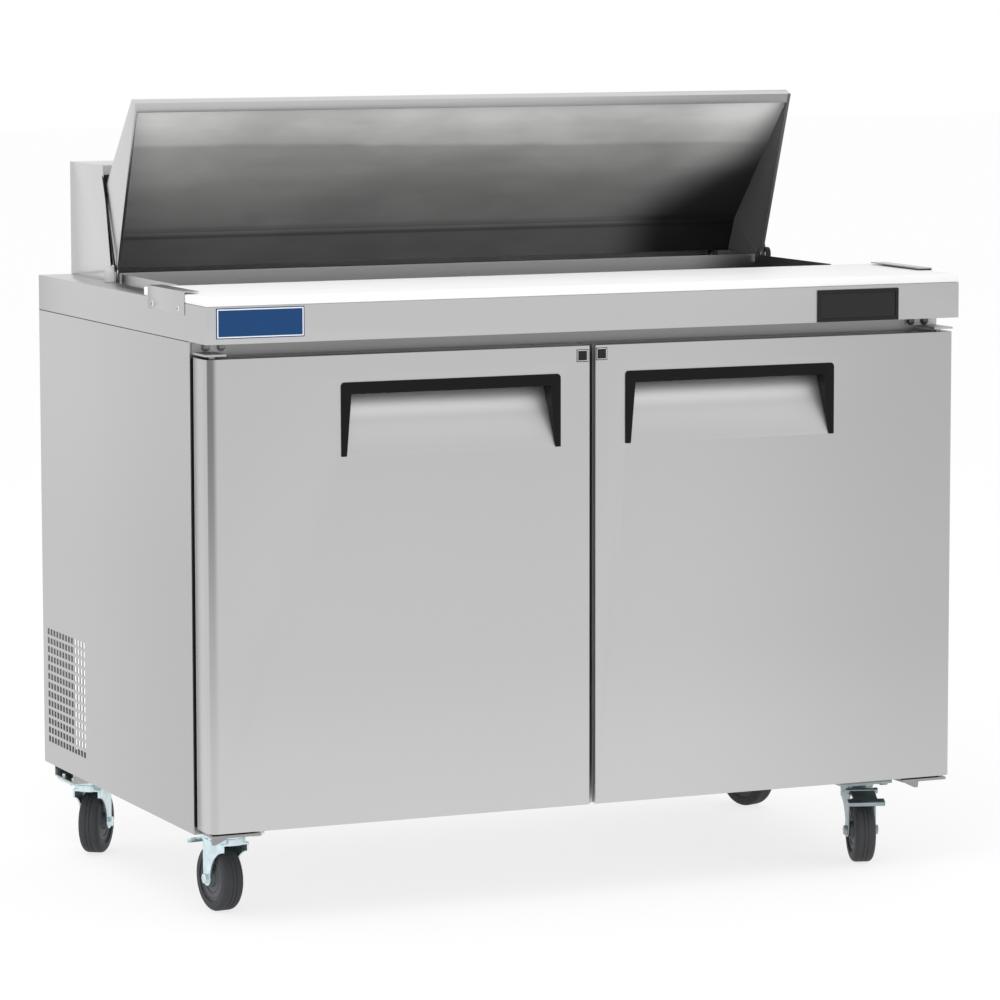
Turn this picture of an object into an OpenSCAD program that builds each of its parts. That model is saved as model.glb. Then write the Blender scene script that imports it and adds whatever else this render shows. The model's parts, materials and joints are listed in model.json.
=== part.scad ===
// Sandwich prep table on casters: a refrigerated two-door case with a
// worktop, a covered pan well behind a full-width board, and a fixed rear hood.
// Millimetres, +Z up. Inside the modules, y is measured back from the
// worktop's front face; at_front() then centres the whole part on the origin.

/* [Case] */
// Width of the case and worktop
case_w = 1224; // [1190:1:1260]
// Depth from the worktop's front face to the back
case_d = 760; // [750:1:780]
// Height of the worktop's top above the floor
worktop_h = 914; // [900:1:940]
// Thickness of the worktop slab
worktop_t = 54; // [50:1:58]
// Height of the case's underside above the floor
case_rise = 140; // [136:1:146]
// Distance from the worktop's front face back to the case's face
case_setback = 69; // [64:1:72]
// Thickness of an insulated wall with both its skins
wall_t = 45; // [42:1:48]
// Thickness of the outer sheet steel
sheet_t = 1.2; // [1:0.1:1.5]
// Thickness of the inner liner sheet
liner_t = 1; // [0.8:0.1:1.2]
// Thickness of the face frame round the door openings
frame_t = 12; // [10:1:14]
// Width of the post between the two door openings
mullion_w = 40; // [38:1:46]
// Width of the folded corner at the case's back edges
corner_fold = 50; // [40:1:60]

/* [Machine compartment] */
// Depth of the open compartment at the back of the case
machine_d = 220; // [210:1:230]
// Height of the open compartment
machine_h = 255; // [245:1:265]
// Holes in each direction of the square side grille
grille_count = 13; // [10:1:14]
// Distance between neighbouring grille holes
grille_pitch = 14.3; // [13:0.1:15]
// Size of one square grille hole
grille_hole = 9.6; // [8:0.1:10.5]
// Distance from the case's back to the grille's middle
grille_inset = 113; // [108:1:118]
// Height of the grille's middle above the case's underside
grille_rise = 126; // [115:1:135]
// Width of the condenser
cond_w = 300; // [260:5:310]
// Height of the condenser
cond_h = 200; // [170:5:210]
// Radius of the compressor's shell
comp_r = 66; // [60:1:70]
// Height of the compressor above its feet
comp_h = 150; // [135:1:160]
// Width of the drip pan
drip_w = 180; // [150:5:190]
// Depth of the drip pan from front to back
drip_l = 150; // [120:5:160]
// Height of the drip pan
drip_h = 30; // [25:1:40]

/* [Doors] */
// Distance from the worktop's front face back to the door's face
door_setback = 8.5; // [6:0.5:12]
// Gap between the two doors
door_gap = 8; // [6:1:10]
// Distance from the case's side in to the door's edge
door_edge_gap = 2; // [1:0.5:4]
// Gap between the worktop and the doors' top
door_top_gap = 22; // [20:1:26]
// Distance from the case's underside up to the doors' bottom
door_foot_gap = 9.5; // [8.5:0.5:12]
// Thickness of the door gasket
gasket_t = 10; // [8:0.5:11]
// Width of the door gasket
gasket_w = 14; // [12:1:15]
// Rounding of a door's front corner on the hinge side
door_round = 12; // [6:1:14]
// Distance from a door's hinge-side edge in to its pivot
pivot_inset = 18; // [16:1:22]
// Distance from a door's face back to its pivot
pivot_back = 21; // [19:1:23]
// Radius of the hinge pins
pin_r = 5; // [4:0.5:6]
// How far a hinge pin enters the door
pin_depth = 15; // [12:1:20]

/* [Door handles] */
// Width of a pocket handle
handle_w = 349; // [320:1:370]
// Height of a pocket handle
handle_h = 108; // [95:1:115]
// Distance from the door's free edge to the handle
handle_inset = 49; // [40:1:60]
// Distance from the door's top down to the handle
handle_drop = 40; // [35:1:50]
// Height of the handle's top bar
handle_bar_h = 17.5; // [14:0.5:20]
// Width of a handle leg at its top
handle_leg_top = 16; // [14:0.5:18]
// Width of a handle leg at its bottom
handle_leg_foot = 8.6; // [8:0.1:10]
// Depth of the pocket behind the top bar
pocket_d = 33; // [28:1:34]
// How far the handle stands proud of the door
handle_proud = 1.5; // [1:0.5:2.5]

/* [Pan well] */
// Width of the pan well inside
well_w = 1093.6; // [1060:0.4:1094]
// Distance from the case's back forward to the well
well_setback = 200; // [190:1:204]
// Length of the well from front to back
well_l = 270; // [262:1:270]
// Height of the collar at the well's sides and back
collar_h = 12; // [8:1:13]
// Depth of the pan ledge below the worktop's top
ledge_drop = 24; // [18:1:30]
// Width of the pan ledge
ledge_w = 14; // [10:1:18]

/* [Cutting board] */
// Strip of worktop left bare between the board and the well
board_gap = 24; // [22:1:40]
// Thickness of the cutting board
board_t = 13; // [12:1:16]
// Length of the clip at each end of the board
clip_l = 156; // [120:1:165]
// Distance from the board's back edge forward to a clip
clip_inset = 23; // [15:1:40]
// Height of a board clip
clip_h = 34; // [30:1:40]
// Thickness of a board clip
clip_t = 1.5; // [1:0.1:2]
// Reach of a clip's flange over the board
clip_reach = 22; // [12:1:30]

/* [Hood and lid] */
// Outside width of the fixed hood
hood_w = 1118; // [1104:1:1120]
// Height of the hood above the worktop
hood_h = 177; // [170:1:190]
// Length of the hood's flat top
hood_top_l = 155; // [140:1:160]
// Height of the folded lip at the hood's front
hood_lip_h = 15; // [10:1:18]
// Gap between the hood's side and the lid's cheek
lid_side_gap = 1.8; // [1.2:0.1:3]
// Angle the lid turns through from shut to open
lid_open = 70; // [60:1:70]
// Distance from the well's back forward to the lid's pivot
lid_pivot_fore = 2; // [0:1:3]
// Height of the lid's pivot above the worktop
lid_pivot_rise = 14; // [14:0.5:16]
// Reach of the shut lid in front of its pivot
lid_reach = 282; // [270:1:284]
// Height of the lid's front rim
lid_rim_h = 18; // [14:1:24]
// Width of the fold turned in under the rim
lid_fold_w = 15; // [10:1:18]
// Distance of the lid's bend in front of its pivot
lid_bend_fore = 18; // [10:1:24]
// Height of the lid's bend above its pivot, shut
lid_bend_rise = 116; // [108:1:120]
// Distance of the lid's back edge behind its pivot, shut
lid_tail_back = 41; // [34:1:42]
// Height of the lid's back edge above its pivot, shut
lid_tail_rise = 120; // [112:1:124]
// Thickness of the lid's insulated panel with its sheet
lid_panel_t = 10; // [6:1:12]
// Radius of the lid's pivot pins
lid_pin_r = 4; // [3:0.5:5]

/* [Front fittings] */
// Width of the controller's bezel
bezel_w = 136.5; // [120:0.5:150]
// Height of the controller's bezel
bezel_h = 48; // [40:1:49]
// How far the bezel stands proud of the worktop's face
bezel_proud = 3; // [2:0.5:4]
// Distance from the worktop's right end to the bezel's middle
bezel_inset = 174; // [152:1:212]
// Width of the name plate
plate_w = 135; // [110:1:140]
// Height of the name plate
plate_h = 44; // [36:1:48]
// Distance from the worktop's left end to the plate
plate_inset = 15.5; // [10:0.5:25]
// Thickness of the name plate
plate_t = 0.8; // [0.5:0.1:1]

/* [Casters] */
// Radius of a caster's tyre
wheel_r = 50; // [48:1:52]
// Width of a caster's tyre
tyre_w = 32; // [28:1:34]
// Distance from the swivel to the axle
trail = 30; // [26:1:34]
// Height of the rails under the case
rail_h = 16; // [14:1:18]
// Width of the rails under the case
rail_w = 92; // [80:1:100]
// Distance from the case's side to a front caster
front_caster_inset = 86; // [80:1:100]
// Distance from the case's side to a rear caster
rear_caster_inset = 44; // [44:1:70]
// Distance from the worktop's front face to the front casters
front_caster_y = 156; // [150:1:164]
// Distance from the case's back to the rear casters
rear_caster_back = 92; // [84:1:110]

/* [Hidden] */
$fn = 48;

// Colours, as the photo shows them
steel = [0.76, 0.76, 0.76];
steel_dark = [0.55, 0.55, 0.55];
black = [0.1, 0.1, 0.1];
zinc = [0.72, 0.78, 0.82];
white = [0.96, 0.96, 0.95];
copper = [0.72, 0.45, 0.2];

// Clearances
rest_gap = 0.3;      // between pieces that seat without touching
pin_play = 0.06;     // radial play of a pin in its hole
past = 1;            // how far a cut runs past a face

// Case
half_w = case_w / 2;
front_y = -(case_d - bezel_proud) / 2;
worktop_z = worktop_h - worktop_t;
inside_x = half_w - sheet_t;
cavity_x = half_w - wall_t;
cavity_z0 = case_rise + wall_t;
cavity_z1 = worktop_z - wall_t;
frame_back = case_setback + frame_t;
back_skin_y = case_d - 2 * sheet_t;
cavity_back = case_d - wall_t;
machine_y = case_d - machine_d;
machine_z = case_rise + machine_h;
step_y = machine_y - wall_t;
step_z = machine_z + wall_t;
base_z = case_rise + sheet_t;

// Pan well
well_x = well_w / 2;
well_back = case_d - well_setback;
well_front = well_back - well_l;
board_d = well_front - board_gap;
well_out_x = well_x + sheet_t;
ledge_z = worktop_h - ledge_drop;
collar_front = well_front + 6;
collar_end = well_back - 13;

// Doors
door_out = half_w - door_edge_gap;
door_in = door_gap / 2;
door_z0 = case_rise + door_foot_gap;
door_z1 = worktop_z - door_top_gap;
door_back = case_setback - gasket_t;
door_inner_round = 4;
pivot_x = door_out - pivot_inset;
pivot_y = door_setback + pivot_back;
gasket_z0 = door_z0 + 16;
gasket_z1 = door_z1 - 4;

// Handles
handle_x0 = door_in + handle_inset;
handle_x1 = handle_x0 + handle_w;
handle_z1 = door_z1 - handle_drop;
handle_z0 = handle_z1 - handle_h;
handle_wall = 3;
handle_lap = 5;
bar_t = 4;
handle_corner_r = 6;
pocket_top = handle_z1 - handle_wall;
ramp_y1 = door_setback + pocket_d;

// Hinges
hinge_plate_t = 3;
hinge_plate_gap = 4;
hinge_leg_h = 13;
hinge_x1 = half_w - sheet_t - 2;
top_plate_w = 32;
foot_plate_w = 80;
foot_plate_in = 5;
top_plate_z = door_z1 + hinge_plate_gap;
foot_plate_t = 4;
foot_plate_gap = 3;
foot_plate_z = door_z0 - foot_plate_gap - foot_plate_t;
hinge_fore = 18;
hinge_leg_t = 3;
hinge_drop = 20;
bolt_r = 5;
bolt_head_h = 3;
bolt_spread = 24;
bolt_in = 20;
bush_r = 8;

// Hood and lid
hood_x = hood_w / 2;
hood_top_z = worktop_h + hood_h;
hood_back = case_d - 3;
hood_front_top = hood_back - hood_top_l;
hood_front_foot = well_back + 3;
lid_y = well_back - lid_pivot_fore;
lid_z = worktop_h + lid_pivot_rise;
lid_x = hood_x - sheet_t - lid_side_gap;
lid_inner_x = lid_x - sheet_t;
lid_heel_r = 9;
ear_r = 12;
cap_t = 11;
pin_head_r = 6.5;
pin_head_t = 2.6;
pin_reach = 6;
hem_w = 3.8;
hem_start = lid_heel_r + 6;
slope_1 = atan2(lid_bend_rise - (lid_rim_h - lid_heel_r), lid_reach - lid_bend_fore);
slope_2 = atan2(lid_tail_rise - lid_bend_rise, lid_bend_fore + lid_tail_back);
rim_top = lid_rim_h - lid_heel_r;
stop_l = 20;
stop_w = 26;
tail_open_y = lid_y + lid_tail_back * cos(lid_open) + (lid_tail_rise - lid_panel_t) * sin(lid_open);
tail_open_z = lid_z - lid_tail_back * sin(lid_open) + (lid_tail_rise - lid_panel_t) * cos(lid_open);

// Casters: front left, front right, rear left, rear right
caster_turns = [97, 253, 54, 288];
front_caster_x = half_w - front_caster_inset;
rear_caster_x = half_w - rear_caster_inset;
rear_caster_y = case_d - rear_caster_back;
caster_x = [-front_caster_x, front_caster_x, -rear_caster_x, rear_caster_x];
caster_y = [front_caster_y, front_caster_y, rear_caster_y, rear_caster_y];
mount_z = case_rise - rail_h;
caster_plate_t = 3;
caster_plate_l = 88;
caster_plate_w = 66;
caster_bolt_r = 4;
race_r = 24;
race_t = 5;
crown_t = 3;
wheel_gap = 6;
crown_z = 2 * wheel_r + wheel_gap;
race_z = mount_z - caster_plate_t - race_t;
kingpin_r = 6;
kingpin_head_r = 9;
kingpin_head_t = 3;
fork_gap = tyre_w / 2 + 3;
fork_t = 3;
fork_foot_r = 11;
fork_nose = 22;
fork_tail = 12;
fork_curve_r = 48.5;
axle_r = 5;
axle_head_t = 5;
axle_head_r = 8;
hub_r = wheel_r - 15;
pedal_x = 36;
pedal_z = crown_z + crown_t + 4.5;
pedal_barrel_r = 3.5;
pedal_pin_r = 2;
pedal_t = 2;
pedal_l = 46;
pedal_tilt = 16;
pedal_w = 42;
pedal_end_w = 58;
pedal_end_l = 14;
pedal_lip = 5;

// Box between two opposite corners
module box(lo, hi) {
  translate(lo)
    cube(hi - lo);
}

// Everything is drawn from the worktop's front face and then centred
module at_front() {
  translate([0, front_y, 0])
    children();
}

// The child and its mirror image across the middle
module both_sides() {
  children();
  mirror([1, 0, 0])
    children();
}

// Draws the child as it is for the left, mirrored for the right
module on_side(right) {
  if (right)
    mirror([1, 0, 0])
      children();
  else
    children();
}

// Extrudes a (y, z) profile along x, from -half to +half
module across(half) {
  rotate([90, 0, 90])
    translate([0, 0, -half])
      linear_extrude(2 * half)
        children();
}

// Extrudes a (y, z) profile along x, from x0 to x1
module across_from(x0, x1) {
  rotate([90, 0, 90])
    translate([0, 0, x0])
      linear_extrude(x1 - x0)
        children();
}

// Cylinder along x
module rod_x(r, x0, x1) {
  translate([x0, 0, 0])
    rotate([0, 90, 0])
      cylinder(r = r, h = x1 - x0);
}

// Cylinder along y
module rod_y(r, y0, y1, sides = $fn) {
  translate([0, y1, 0])
    rotate([90, 0, 0])
      cylinder(r = r, h = y1 - y0, $fn = sides);
}

// ---- Case ----

module grille_holes() {
  span = (grille_count - 1) * grille_pitch / 2;
  y0 = case_d - grille_inset;
  z0 = case_rise + grille_rise;
  for (row = [0 : grille_count - 1])
    for (col = [0 : grille_count - 1])
      translate([-half_w, y0 - span + col * grille_pitch, z0 - span + row * grille_pitch])
        cube([4 * sheet_t, grille_hole, grille_hole], center = true);
}

module side_panel() {
  difference() {
    union() {
      box([-half_w, case_setback, case_rise], [-inside_x, case_d, worktop_z]);
      box([-half_w, case_d - sheet_t, case_rise], [corner_fold - half_w, case_d, worktop_z]);
    }
    grille_holes();
  }
}

module left_side_panel() {
  color(steel)
    at_front()
      side_panel();
}

module right_side_panel() {
  color(steel)
    at_front()
      mirror([1, 0, 0])
        side_panel();
}

// Back skin, folded forward and down round the machine compartment
module back_panel() {
  color(steel)
    at_front()
      difference() {
        union() {
          box([-inside_x, back_skin_y, machine_z - sheet_t], [inside_x, case_d - sheet_t, worktop_z]);
          box([-inside_x, machine_y, machine_z - sheet_t], [inside_x, back_skin_y, machine_z]);
          box([-inside_x, machine_y, base_z], [inside_x, machine_y + sheet_t, machine_z]);
        }
        inlet_cut();
      }
}

module base_pan() {
  lip_h = 14;
  color(steel_dark)
    at_front() {
      box([-inside_x, frame_back, case_rise], [inside_x, case_d - sheet_t, base_z]);
      box(
        [-half_w + corner_fold, back_skin_y, case_rise],
        [half_w - corner_fold, case_d - sheet_t, base_z + lip_h]
      );
    }
}

// Channel under the case, around a line along x
module base_rail(x0, x1, y, w) {
  rail_sheet = 2;
  difference() {
    box([x0, y - w / 2, mount_z], [x1, y + w / 2, case_rise]);
    box(
      [x0 - past, y - w / 2 + rail_sheet, mount_z + rail_sheet],
      [x1 + past, y + w / 2 - rail_sheet, case_rise + past]
    );
  }
}

// A short channel over each front caster and a long one over the rear pair
module base_rails() {
  pad = caster_plate_l / 2;
  color(steel_dark)
    at_front()
      difference() {
        union() {
          for (x = [-front_caster_x, front_caster_x])
            base_rail(x - pad, x + pad, front_caster_y, caster_plate_w);
          base_rail(-inside_x, inside_x, rear_caster_y, rail_w);
        }
        for (i = [0 : 3])
          translate([caster_x[i], caster_y[i], mount_z])
            caster_bolt_holes();
      }
}

module front_frame() {
  color(steel)
    at_front()
      difference() {
        box([-inside_x, case_setback, case_rise], [inside_x, frame_back, worktop_z]);
        both_sides()
          box([mullion_w / 2, 0, cavity_z0], [cavity_x, case_d, cavity_z1]);
      }
}

// Side view of the cavity, grown outward by a wall
module cavity_outline(grow) {
  y0 = frame_back;
  y1 = step_y + grow;
  y2 = cavity_back + grow;
  z0 = cavity_z0 - grow;
  z1 = step_z - grow;
  z2 = cavity_z1 + grow;
  polygon([[y0, z0], [y1, z0], [y1, z1], [y2, z1], [y2, z2], [y0, z2]]);
}

module well_hole() {
  box(
    [-well_out_x, well_front - sheet_t, cavity_z1 - past],
    [well_out_x, well_back + sheet_t, worktop_h + past]
  );
}

module insulation() {
  color([0.93, 0.9, 0.75])
    at_front()
      difference() {
        box([-inside_x, frame_back, base_z], [inside_x, back_skin_y, worktop_z]);
        box([-half_w, machine_y, 0], [half_w, case_d, machine_z]);
        across(cavity_x + liner_t)
          cavity_outline(liner_t);
        well_hole();
      }
}

module inner_liner() {
  color([0.85, 0.86, 0.87])
    at_front()
      difference() {
        across(cavity_x + liner_t)
          cavity_outline(liner_t);
        across(cavity_x)
          cavity_outline(0);
        well_hole();
      }
}

// ---- Worktop, pan well and board ----

// Worktop slab with its holes, drawn a sheet's thickness smaller or not
module worktop_block(inset) {
  difference() {
    box([inset - half_w, inset, worktop_z + inset], [half_w - inset, case_d - inset, worktop_h - inset]);
    well_hole();
    box(bezel_lo(-past), bezel_hi(bezel_recess));
  }
}

module worktop() {
  color(steel)
    at_front()
      difference() {
        worktop_block(0);
        worktop_block(sheet_t);
      }
}

module worktop_core() {
  color([0.93, 0.9, 0.75])
    at_front()
      worktop_block(sheet_t);
}

module pan_well() {
  color(steel_dark)
    at_front() {
      difference() {
        box([-well_out_x, well_front - sheet_t, cavity_z1], [well_out_x, well_back + sheet_t, worktop_h]);
        box([-well_x, well_front, cavity_z1 - past], [well_x, well_back, worktop_h + past]);
      }
      both_sides()
        box([well_x, collar_front, worktop_h], [well_out_x, collar_end, worktop_h + collar_h]);
      box([-well_x, well_back, worktop_h], [well_x, well_back + sheet_t, worktop_h + collar_h + 1]);
      box([-well_x, well_front, ledge_z - sheet_t], [well_x, well_front + ledge_w, ledge_z]);
      box([-well_x, well_back - ledge_w, ledge_z - sheet_t], [well_x, well_back, ledge_z]);
    }
}

module cutting_board() {
  corner_r = 3;
  edge = half_w - rest_gap;
  color(white)
    at_front()
      translate([0, 0, worktop_h])
        linear_extrude(board_t)
          union() {
            translate([-edge + corner_r, 0])
              square([2 * (edge - corner_r), board_d]);
            translate([-edge, corner_r])
              square([2 * edge, board_d - 2 * corner_r]);
            for (x = [-edge + corner_r, edge - corner_r])
              for (y = [corner_r, board_d - corner_r])
                translate([x, y])
                  circle(corner_r);
          }
}

clip_y0 = board_d - clip_inset - clip_l;
clip_z1 = worktop_h + board_t + 4;
clip_z0 = clip_z1 - clip_h;
clip_screw_z = clip_z0 + 8;
clip_screw_inset = 23;

module board_clips() {
  color(steel)
    at_front()
      both_sides() {
        box([half_w, clip_y0, clip_z0], [half_w + clip_t, clip_y0 + clip_l, clip_z1]);
        box([half_w - clip_reach, clip_y0, clip_z1 - clip_t], [half_w, clip_y0 + clip_l, clip_z1]);
      }
}

module pan_head(r, h) {
  rod_x(r, 0, h);
  rod_x(r * 0.7, h, h + 0.8);
}

module small_bolts() {
  color(zinc)
    at_front()
      both_sides() {
        for (y = [clip_y0 + clip_screw_inset, clip_y0 + clip_l - clip_screw_inset])
          translate([half_w + clip_t, y, clip_screw_z])
            pan_head(4, 1.2);
        for (x = [hinge_x1 - bolt_in, hinge_x1 - bolt_in - bolt_spread])
          translate([x, case_setback - hinge_leg_t, top_plate_z + hinge_plate_t + hinge_leg_h / 2])
            rod_y(bolt_r, -bolt_head_h, 0);
      }
}

// ---- Front fittings ----

bezel_x = half_w - bezel_inset;
bezel_z1 = worktop_h - 5.5;
function bezel_lo(y) = [bezel_x - bezel_w / 2, y, bezel_z1 - bezel_h];
function bezel_hi(y) = [bezel_x + bezel_w / 2, y, bezel_z1];
bezel_frame = 5;
bezel_recess = 12;
window_deep = 2;

module controller_bezel() {
  color(black)
    at_front()
      difference() {
        box(bezel_lo(-bezel_proud), bezel_hi(bezel_recess));
        translate([bezel_frame, 0, bezel_frame])
          box(bezel_lo(-bezel_proud - past), bezel_hi(window_deep) - [2 * bezel_frame, 0, 2 * bezel_frame]);
      }
}

module controller_window() {
  inset = [bezel_frame + rest_gap, 0, bezel_frame + rest_gap];
  color([0.2, 0.2, 0.21])
    at_front()
      box(bezel_lo(-bezel_proud + 1.2) + inset, bezel_hi(window_deep) - inset);
}

module name_plate() {
  x0 = -half_w + plate_inset;
  z0 = worktop_h - 2 - plate_h;
  color([0.12, 0.28, 0.48])
    at_front()
      box([x0, -plate_t, z0], [x0 + plate_w, 0, z0 + plate_h]);
}

// ---- Hood and lid ----

module hood_side_outline() {
  polygon([
    [hood_front_foot, worktop_h], [hood_back, worktop_h],
    [hood_back, hood_top_z], [hood_front_top, hood_top_z]
  ]);
  translate([lid_y, lid_z])
    circle(ear_r);
  translate([lid_y - ear_r, worktop_h])
    square([2 * ear_r, lid_pivot_rise]);
}

module hood() {
  color(steel)
    at_front() {
      difference() {
        both_sides()
          across_from(hood_x - sheet_t, hood_x)
            hood_side_outline();
        translate([0, lid_y, lid_z])
          rod_x(lid_pin_r + pin_play, -hood_w, hood_w);
      }
      box(
        [-hood_x + sheet_t, hood_front_top, hood_top_z - sheet_t],
        [hood_x - sheet_t, hood_back, hood_top_z]
      );
      box(
        [-hood_x + sheet_t, hood_back - sheet_t, worktop_h],
        [hood_x - sheet_t, hood_back, hood_top_z - sheet_t]
      );
      box(
        [-hood_x + sheet_t, hood_front_top, hood_top_z - hood_lip_h],
        [hood_x - sheet_t, hood_front_top + sheet_t, hood_top_z - sheet_t]
      );
      lid_stop();
    }
}

// Blocks beside the hood's walls, on which the open lid's back edge rests
module lid_stop() {
  both_sides()
    box(
      [hood_x - sheet_t - stop_w, tail_open_y - stop_l / 2, worktop_h],
      [hood_x - sheet_t, tail_open_y + stop_l / 2, tail_open_z - rest_gap]
    );
}

// Covers over the ends of the lid's pins
module pivot_caps() {
  color([0.88, 0.88, 0.88])
    at_front()
      both_sides()
        difference() {
          across_from(hood_x, hood_x + cap_t)
            union() {
              translate([lid_y, lid_z])
                circle(ear_r - 2);
              translate([lid_y - ear_r + 2, worktop_h])
                square([2 * ear_r - 4, lid_pivot_rise]);
            }
          translate([0, lid_y, lid_z])
            rod_x(lid_pin_r + 5 * pin_play, 0, hood_x + pin_reach + rest_gap);
        }
}

// Turns a profile drawn with the lid shut, in front of and above the pivot,
// into the lid's open place
module lid_place() {
  at_front()
    translate([0, lid_y, lid_z])
      rotate([-lid_open, 0, 0])
        mirror([0, 1, 0])
          children();
}

// Points of the lid's folded line, moved inward by a thickness
function lid_line(t) = [
  [lid_reach - t, rim_top - t / cos(slope_1)],
  [lid_bend_fore, lid_bend_rise - t / cos(slope_1)],
  [-lid_tail_back, lid_tail_rise - t / cos(slope_2)]
];
function reversed(list) = [for (i = [len(list) - 1 : -1 : 0]) list[i]];

module lid_cheek_outline() {
  line = lid_line(sheet_t);
  polygon(concat([[lid_reach - sheet_t, -lid_heel_r]], line, [[-lid_heel_r, 0], [0, -lid_heel_r]]));
  circle(lid_heel_r);
}

module lid_shell() {
  outer = [
    [lid_reach, -lid_heel_r], [lid_reach, rim_top],
    [lid_bend_fore, lid_bend_rise], [-lid_tail_back, lid_tail_rise]
  ];
  inner = concat(reversed(lid_line(sheet_t)), [[lid_reach - sheet_t, -lid_heel_r]]);
  color(steel)
    lid_place() {
      across(lid_x)
        polygon(concat(outer, inner));
      box(
        [-lid_x, lid_reach - lid_fold_w, -lid_heel_r],
        [lid_x, lid_reach - sheet_t, sheet_t - lid_heel_r]
      );
      both_sides() {
        difference() {
          across_from(lid_inner_x, lid_x)
            lid_cheek_outline();
          rod_x(lid_pin_r, 0, hood_w);
        }
        box(
          [lid_inner_x - hem_w, hem_start, -lid_heel_r],
          [lid_inner_x, lid_reach - lid_fold_w, sheet_t - lid_heel_r]
        );
      }
    }
}

module lid_panel() {
  outer = lid_line(sheet_t);
  inner = lid_line(lid_panel_t);
  color(steel_dark)
    lid_place()
      across(lid_inner_x)
        polygon(concat(outer, reversed(inner)));
}

module lid_pins() {
  color(zinc)
    at_front()
      translate([0, lid_y, lid_z])
        both_sides() {
          rod_x(pin_head_r, lid_inner_x - pin_head_t, lid_inner_x);
          rod_x(lid_pin_r, lid_inner_x, hood_x + pin_reach);
        }
}

// ---- Doors, drawn on the left and mirrored for the right ----

// Plan of a door with rounded front corners, drawn on the left
module door_plan(inset, y1) {
  x0 = -door_out + inset;
  x1 = -door_in - inset;
  y0 = door_setback + inset;
  r0 = door_round - inset;
  r1 = door_inner_round - inset;
  translate([x0 + r0, y0])
    square([x1 - r1 - x0 - r0, y1 - y0]);
  translate([x0, y0 + r0])
    square([x1 - x0, y1 - y0 - r0]);
  translate([x0 + r0, y0 + r0])
    circle(r0);
  translate([x1 - r1, y0 + r1])
    circle(r1);
}

// Space in front of the pocket's ramp, moved back by a thickness
module pocket_space(back) {
  y0 = door_setback - past;
  across_from(-handle_x1 + handle_lap, -handle_x0 - handle_lap)
    polygon([
      [y0, handle_z0 - 3 * back], [door_setback + back, handle_z0 - 3 * back],
      [ramp_y1 + back, pocket_top - 2 * back], [ramp_y1 + back, pocket_top], [y0, pocket_top]
    ]);
}

module pin_bores(r) {
  for (z = [door_z0 + pin_depth / 2, door_z1 - pin_depth / 2])
    translate([-pivot_x, pivot_y, z])
      cylinder(r = r, h = pin_depth + 2 * past, center = true);
}

module door_skin(right) {
  y1 = door_back - sheet_t;
  color(steel)
    at_front()
      on_side(right) {
        difference() {
          translate([0, 0, door_z0])
            linear_extrude(door_z1 - door_z0)
              door_plan(0, y1);
          translate([0, 0, door_z0 + sheet_t])
            linear_extrude(door_z1 - door_z0 - 2 * sheet_t)
              door_plan(sheet_t, y1 + past);
          pocket_space(0);
          pin_bores(pin_r + pin_play);
        }
        pocket_ramp();
      }
}

// Sheet that slopes from flush at the pocket's foot to its full depth
module pocket_ramp() {
  rise = sheet_t * 3;
  across_from(-handle_x1 + handle_lap, -handle_x0 - handle_lap)
    polygon([
      [door_setback, handle_z0 - rise], [door_setback, handle_z0],
      [ramp_y1, pocket_top], [ramp_y1 + sheet_t, pocket_top], [ramp_y1 + sheet_t, pocket_top - 2 * sheet_t],
      [door_setback + sheet_t, handle_z0 - rise]
    ]);
}

// Foam core with the door's inner sheet
module door_core(right) {
  y1 = door_back - sheet_t;
  color([0.86, 0.87, 0.88])
    at_front()
      on_side(right)
        difference() {
          union() {
            translate([0, 0, door_z0 + sheet_t])
              linear_extrude(door_z1 - door_z0 - 2 * sheet_t)
                door_plan(sheet_t, y1);
            box([-door_out, y1, door_z0], [-door_in, door_back, door_z1]);
          }
          pocket_space(sheet_t);
          pin_bores(pin_r + pin_play);
        }
}

module door_gasket(right) {
  inner = door_in + 1;
  color(black)
    at_front()
      on_side(right)
        difference() {
          box([-pivot_x, door_back, gasket_z0], [-inner, case_setback - rest_gap, gasket_z1]);
          box(
            [-pivot_x + gasket_w, 0, gasket_z0 + gasket_w],
            [-inner - gasket_w, case_d, gasket_z1 - gasket_w]
          );
        }
}

// Front view of one handle leg, between two distances from the handle's edge
module leg_outline(inset) {
  polygon([
    [handle_x0 + inset, handle_z0], [handle_x0 + handle_leg_foot, handle_z0],
    [handle_x0 + handle_leg_top, handle_z1 - handle_bar_h],
    [handle_x0 + handle_leg_top, handle_z1 - handle_corner_r],
    [handle_x0 + inset, handle_z1 - handle_corner_r]
  ]);
}

// Front view of a leg's inner wall
module wall_outline() {
  polygon([
    [handle_x0 + handle_leg_foot - handle_wall, handle_z0], [handle_x0 + handle_leg_foot, handle_z0],
    [handle_x0 + handle_leg_top, handle_z1 - handle_bar_h], [handle_x0 + handle_leg_top, pocket_top],
    [handle_x0 + handle_leg_top - handle_wall, pocket_top],
    [handle_x0 + handle_leg_top - handle_wall, handle_z1 - handle_bar_h]
  ]);
}

// Extrudes an (x, z) outline along y
module through(y0, y1) {
  translate([0, y1, 0])
    rotate([90, 0, 0])
      linear_extrude(y1 - y0)
        children();
}

// The child on both ends of the handle, drawn on the right half
module both_legs() {
  middle = (handle_x0 + handle_x1) / 2;
  children();
  translate([middle, 0, 0])
    mirror([1, 0, 0])
      translate([-middle, 0, 0])
        children();
}

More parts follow.
